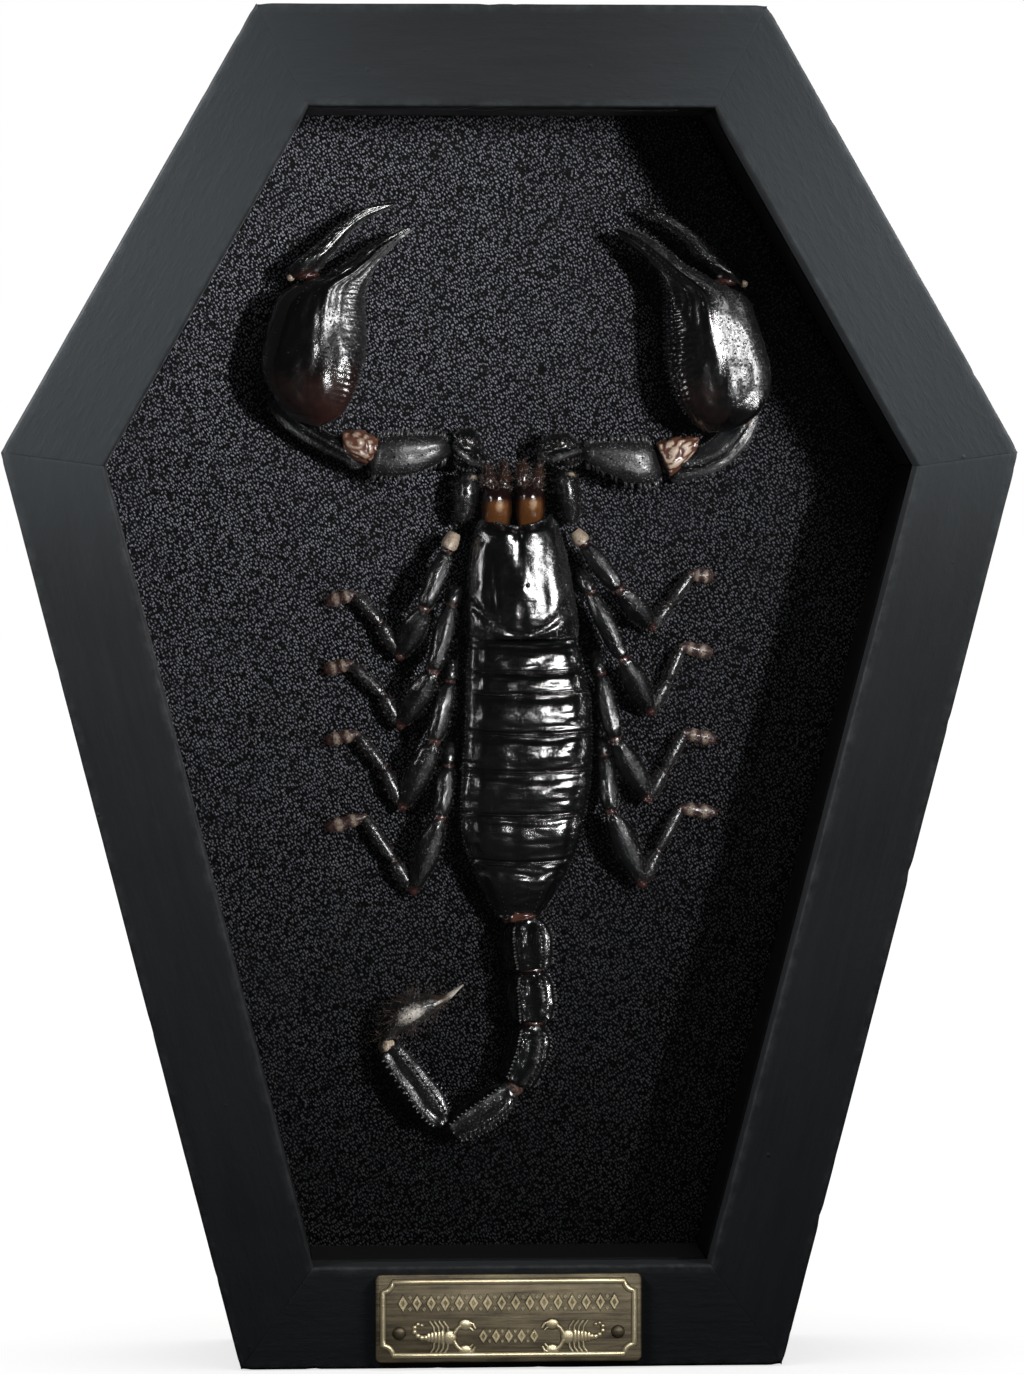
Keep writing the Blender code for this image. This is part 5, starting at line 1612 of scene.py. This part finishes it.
def buildLegs():
    for number, (name, joints) in enumerate(legs.items()):
        body = Body()
        for i, article in enumerate(legArticles):
            start, stop = Vector(joints[i]), Vector(joints[i + 1])
            points = [(*start.lerp(stop, part), wide, thick) for part, wide, thick in article]
            thigh, foot = i in (1, 2), i == 5

            def keels(u, t, s, i=i, thigh=thigh):
                if not thigh:
                    return 0.07 * noise.noise(Vector((u * 6, t * 3, s * 2 + i)))
                rough = 0.24 * noise.noise(Vector((u * 6, t * 2.5, s * 2 + number)))
                return 0.22 * bell(abs(t), 0.75, 0.12) * (s > -0.2) + rough

            def tint(u, t, s, i=i, thigh=thigh, foot=foot):
                near = max(bell(u, 0.0, 0.05), bell(u, 1.0, 0.08))
                pale = 0.75 if i == 0 and name.endswith("1") else 0.0
                if foot:
                    # painted highlights: two pale patches along the foot
                    pale = 0.55 * max(bell(u, 0.25, 0.12), bell(u, 0.7, 0.15))
                # painted sheen: the side towards the light is painted grey
                paintedSheen = legSkin["paintedSheen"] * bell(t, -0.3, 0.28) * bell(u, 0.5, 0.32) * (s > 0) * thigh
                return {"warm": max(legSkin["warm"][i], 0.75 * near * thigh), "pale": pale * (1 - near),
                        "grain": 0.55 if i < 3 else 0.95, "hairy": 0.25 if i < 3 else 1.0,
                        "dust": legSkin["dust"][i] + paintedSheen}

            skin = Skin(limbRows(points), keels, tint)
            skin.grow(body, 36 if i < 3 else 24, 28, 0.3)
            if thigh:
                skin.studRows(body, (12, 168), 0.1, 0.95, 14, 0.22, dust=0.8)
            if i > 2:
                # spurs
                skin.studRows(body, (20, 90, 160), 0.25, 0.95, 4, 0.60, 0.13, lean=0.9, blunt=0.1,
                              tint={"warm": 0.9, "pale": 0.2})
            if not foot:
                size = legSkin["joint"][i]
                skinTint = {"warm": 0.8, "pale": 0.3 * (i > 2), "grain": 1.0}
                ball(body, stop, (size, size, size), skinTint, 14, 8)
        # two claws at the tip
        tip, before = Vector(joints[6]), Vector(joints[5])
        along = (tip - before).normalized()
        side = Vector((-along.y, along.x, 0.0))
        for turn in (-1, 1):
            hook = []
            for k in range(5):
                part = k / 4
                p = tip + along * (-0.1 + 0.95 * part) + side * turn * (0.25 + 0.45 * part)
                half = legSkin["claw"] * (1.1 - part)
                hook.append((p.x, p.y, max(0.35, 1.1 - 0.75 * part * part), half, half))
            Skin(limbRows(hook), None, lambda u, t, s: {"warm": 1.0}).grow(body, 8, 8, 0.05)
        strewn(body, "leg", number)
        body.piece("leg_" + name + "_jointed", "black", "black_cuticle", ["leg_" + name])
    print("legs")


# Each tail segment: x, z and half width from its front to its rear end, with its top height.
tail = (
    ((2.8, 65.6, 2.6), (3.2, 63.4, 3.6), (3.5, 60.6, 3.7), (3.7, 58.3, 3.2), 7.6),
    ((3.7, 57.6, 2.6), (3.8, 55.6, 3.3), (4.0, 52.6, 3.4), (4.0, 50.2, 2.9), 7.2),
    ((3.9, 49.4, 2.4), (3.8, 47.0, 2.9), (2.9, 43.6, 3.0), (1.7, 40.8, 2.6), 7.0),
    ((0.8, 39.4, 2.0), (-1.6, 37.5, 2.5), (-5.0, 35.1, 2.6), (-8.0, 33.0, 1.5), 6.6),
    ((-9.6, 34.4, 1.5), (-11.4, 36.6, 2.5), (-14.8, 41.2, 2.5), (-17.9, 45.6, 1.9), 6.4),
)
# for each segment: how grey it is all over, then where its painted highlight, a pale streak, lies and how
# strong it is
tailDustAndPaintedStreaks = ((0.0, -0.62, 1.7), (0.0, -0.55, 1.7), (0.08, -0.45, 1.6), (0.40, 0.50, 1.25), (0.45, 0.58, 1.7))
tailEnd = (-18.4, 46.9, 1.0)
tailRoot = ((2.2, 67.4, 3.4, 2.9, 2.4), (2.5, 66.2, 3.6, 2.8, 2.6), (2.9, 64.8, 3.6, 2.5, 2.4))
telson = (
    (-18.4, 46.9, 3.6, 1.0, 1.2), (-18.0, 48.3, 3.8, 1.2, 1.7), (-16.8, 50.3, 4.0, 2.3, 2.6),
    (-14.4, 51.8, 4.0, 2.6, 2.8), (-11.9, 52.7, 4.0, 1.7, 2.0), (-10.2, 53.2, 4.0, 0.85, 1.1),
    (-8.4, 54.1, 3.8, 0.48, 0.55), (-6.5, 55.5, 3.2, 0.14, 0.16),
)


def buildTail():
    for number, (*stations, high) in enumerate(tail, 1):
        points = []
        for i, (x, z, half) in enumerate(stations):
            trim = 0.82 if i in (0, 3) else 1.0
            thick = (high - 1.0) / 2 * trim
            points.append((x, z, 1.0 + (high - 1.0) / 2, half, thick))

        def keels(u, t, s):
            if s < -0.3:
                return 0.0
            ends = ramped(u, 0.05, 0.2) * (1 - 0.4 * ramped(u, 0.85, 1.0))
            shy = 0.4 if t > 0 and number < 4 else 1.0
            keel = 0.62 * shy * bell(abs(t), 0.52, 0.09) * (s > 0) + 0.40 * bell(abs(t), 0.93, 0.07)
            hollow = -0.45 * bell(t, 0.0, 0.30) * (s > 0) - 0.3 * bell(abs(t), 0.74, 0.08)
            lobes = 0.35 * bell(u, 0.97, 0.05) * bell(abs(t), 0.6, 0.25)
            return (keel + hollow) * ends + lobes + 0.20 * noise.noise(Vector((u * 6, t * 3, number + s)))

        def tint(u, t, s, number=number):
            # painted highlight: a pale streak along the keel on the side towards the light
            grey, side, light = tailDustAndPaintedStreaks[number - 1]
            patchy = 0.55 + 0.9 * noise.noise(Vector((u * 7, t * 2, number)))
            streak = light * bell(t, side, 0.13) * patchy
            keel = bell(abs(t), 0.55, 0.15)
            return {"dust": (grey + streak) * (s > 0), "warm": 0.2 * bell(u, 0.0, 0.04),
                    "grain": 0.25 + 0.55 * keel}

        skin = Skin(limbRows(points), keels, tint)
        body = Body()
        skin.grow(body, 64, 56, 0.5)
        # the studs are greyed, and painted pale as glints on the last two segments
        shine = 1.4 if number > 3 else 0.7
        skin.studRows(body, (58, 122), 0.1, 0.97, 13, 0.46, 0.5, lean=0.25, dust=shine)
        skin.studRows(body, (10, 170), 0.08, 0.96, 14, 0.46, 0.45, blunt=0.3, dust=shine)
        strewn(body, "tail", number)
        # the joint behind the segment
        x, z, half = stations[3]
        following = tail[number][0] if number < 5 else tailEnd
        joint = ((x + following[0]) / 2, (z + following[1]) / 2, 3.6)
        light = {3: 0.25, 5: 0.85}.get(number, -0.2)
        ball(body, joint, (half * 0.7, half * 0.7, 2.0), {"warm": 0.7, "pale": light, "grain": 1.0})
        body.piece(f"tail_segment_{number}_keeled", "black", "black_cuticle", [f"tail_segment_{number}"])
    # the skin between the abdomen and the tail
    root = Skin(limbRows(tailRoot), foldedSkin, lambda u, t, s: {"warm": 0.4, "pale": -0.2})
    root.grow(membranes, 30, 36, 0.3)

    def bulb(u, t, s):
        ribs = 0.14 * math.cos(t * 14) * bell(u, 0.42, 0.25) * (s > 0)
        return ribs + 0.12 * noise.noise(Vector((u * 10, t * 4, s * 2)))

    def tint(u, t, s):
        # painted highlight: a whitish patch in the middle of the bulb
        patch = 0.90 * bell(u, 0.42, 0.13) * bell(t, 0.1, 0.5)
        return {"warm": 0.12 + 0.5 * ramped(u, 0.6, 0.8), "pale": patch + 0.55 * ramped(u, 0.72, 0.9),
                "hairy": 1.0 - 0.9 * ramped(u, 0.75, 0.9), "grain": 0.8 * (u < 0.7), "dust": 0.3}

    body = Body()
    Skin(limbRows(telson), bulb, tint).grow(body, 70, 36, 0.25)
    strewn(body, "telson")
    body.piece("telson_sting", "horn", "telson_horn", ["telson"])
    print("tail and telson")


buildCarapace()
buildAbdomen()
buildChelicerae()
buildPedipalps()
buildLegs()
buildTail()
membranes.piece("joint_membranes", "membrane", "amber_cuticle")
allHairs.piece("fine_hairs", "hair", "telson_horn")
print("hairs:", len(allHairs.faces), "faces")


# Stage: a pale floor, a white surround, soft keys from the right, a weak rim and fill, small
# lights for the frame and the plate, and one from behind.
camera = {"place": (-52.0, frontFace - 889.0, 142.4), "aim": (-0.05, frontFace, 102.75),
          "focal": 5942.7, "frame": (1024, 1374), "sensor": 36.0}
lights = (
    # name, place, aim, size and spread, all in mm and degrees, watts, what it lights
    ("key on the animal", (345.0, -670.0, 215.0), (5.0, 8.0, 110.0), (440.0, 320.0), 60.0, 1.5, "animal"),
    ("key on the tail", (600.0, -500.0, 130.0), (3.0, 8.0, 52.0), (300.0, 220.0), 60.0, 2.0, "tail"),
    ("rim from the left", (-420.0, -190.0, 190.0), (0.0, 8.0, 110.0), (60.0, 260.0), 60.0, 0.08, "animal"),
    ("key on the board", (400.0, -640.0, 250.0), (-34.0, 8.0, 200.0), (60.0, 240.0), 17.0, 0.17, "board"),
    ("fill on the board", (120.0, -420.0, 480.0), (-20.0, 8.0, 150.0), (260.0, 160.0), 90.0, 0.10, "board"),
    ("plate light", (90.0, -380.0, 130.0), (0.0, -15.0, 8.0), (320.0, 120.0), 90.0, 0.24, "plate"),
    ("frame light left", (-190.0, -105.0, 250.0), (-50.0, -15.0, 155.0), (90.0, 90.0), 70.0, 0.105, "bars"),
    ("frame light right", (190.0, -105.0, 250.0), (50.0, -15.0, 155.0), (90.0, 90.0), 70.0, 0.105, "bars"),
    ("rear light", (260.0, 640.0, 330.0), (0.0, 17.0, 110.0), (300.0, 300.0), 90.0, 1.6, "rear"),
    ("rear light on bars", (260.0, 640.0, 330.0), (0.0, 17.0, 110.0), (300.0, 300.0), 90.0, 1.6, "bars"),
)
surround = {"seen": 1.0, "glow": 0.018, "floorSun": 2.4, "floorSunHeight": 900.0}
floorLook = {"half": 3.0, "drop": 0.1, "pale": (0.80, 0.80, 0.80), "light": (0.84, 0.84, 0.84),
             "unseen": (0.06, 0.06, 0.06), "glow": 1.5}
# what is lit apart, by how the pieces' names start; the rest of the animal is one group
litKinds = {
    "bar_": "bars", "brass_": "plate", "spacer_": "board", "leatherette": "board", "tail_": "tail",
    "telson": "tail", "back_board": "rear", "steel_tab": "rear", "hanger_": "rear", "rivet_": "rear",
}


# Each lamp lights one group of pieces.
def litGroups(floor):
    groups = {name: bpy.data.collections.new("lit " + name)
              for name in ("bars", "board", "plate", "tail", "animal", "rear", "floor")}
    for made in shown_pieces():
        fitting = [group for start, group in litKinds.items() if made.name.startswith(start)]
        groups[fitting[0] if fitting else "animal"].objects.link(made)
    groups["floor"].objects.link(floor)
    return groups


# A camera or a lamp, put in its place and turned to its aim.
def aimed(name, data, place, aim):
    made = bpy.data.objects.new(name, data)
    made.location = Vector(place) * mm
    made.rotation_euler = (Vector(aim) - Vector(place)).to_track_quat("-Z", "Y").to_euler()
    bpy.context.scene.collection.objects.link(made)
    return made


def addLamp(name, kind, strength, place, aim, receivers):
    lamp = bpy.data.lights.new(name, kind)
    lamp.energy = strength
    aimed(name, lamp, place, aim).light_linking.receiver_collection = receivers
    return lamp


def buildCamera():
    shot = bpy.data.cameras.new("camera")
    shot.sensor_width = camera["sensor"]
    shot.lens = camera["focal"] / max(camera["frame"]) * camera["sensor"]
    shot.clip_start, shot.clip_end = 0.01, 20.0
    bpy.context.scene.camera = aimed("camera", shot, camera["place"], camera["aim"])


def buildFloor():
    bm = bmesh.new()
    bmesh.ops.create_grid(bm, x_segments=2, y_segments=2, size=floorLook["half"])
    mesh = bpy.data.meshes.new("floor")
    bm.to_mesh(mesh)
    bm.free()
    floor = bpy.data.objects.new("floor", mesh)
    floor.location.z = -floorLook["drop"] * mm
    bpy.context.scene.collection.objects.link(floor)
    f = Finish("pale floor")
    tone = f.noise(f.node("ShaderNodeTexCoord").out("Object"), 0.4, 2.0)
    seen = f.node("ShaderNodeLightPath").out("Is Camera Ray")
    pale = f.blend(tone, floorLook["pale"], floorLook["light"])
    # white to the camera, and dark to the pieces, which it would light from below
    f.surface(Base_Color=f.blend(seen, floorLook["unseen"], pale), Roughness=0.9)
    white = f.node("ShaderNodeEmission", {}, {"Color": (1.0, 1.0, 1.0), "Strength": floorLook["glow"]})
    mixed = f.node("ShaderNodeMixShader", {}, {0: seen * 0.5, 1: Wire(f, f.shader.outputs[0]), 2: white})
    f.tree.links.new(mixed.socket, f.tree.nodes["Material Output"].inputs[0])
    floor.data.materials.append(f.material)
    floor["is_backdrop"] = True
    return floor


def buildStage():
    buildCamera()
    groups = litGroups(buildFloor())
    for name, place, aim, size, spread, strength, group in lights:
        lamp = addLamp(name, "AREA", strength, place, aim, groups[group])
        lamp.shape = "ELLIPSE"
        lamp.size, lamp.size_y = size[0] * mm, size[1] * mm
        lamp.spread = math.radians(spread)
    above = (0.0, 0.0, surround["floorSunHeight"])
    sun = addLamp("light on the floor", "SUN", surround["floorSun"], above, (0.0, 0.0, 0.0), groups["floor"])
    sun.angle = math.radians(50)

    world = bpy.data.worlds.new("surround")
    world.use_nodes = True
    bpy.context.scene.world = world
    w = Board(world.node_tree)
    ray = w.node("ShaderNodeLightPath").out("Is Camera Ray")
    strength = surround["glow"] + ray * (surround["seen"] - surround["glow"])
    w.tree.links.new(strength.socket, w.tree.nodes["Background"].inputs["Strength"])
    w.tree.nodes["Background"].inputs["Color"].default_value = (1.0, 1.0, 1.0, 1.0)
    bpy.context.scene.view_settings.view_transform = "Standard"
    print("stage set")


buildStage()
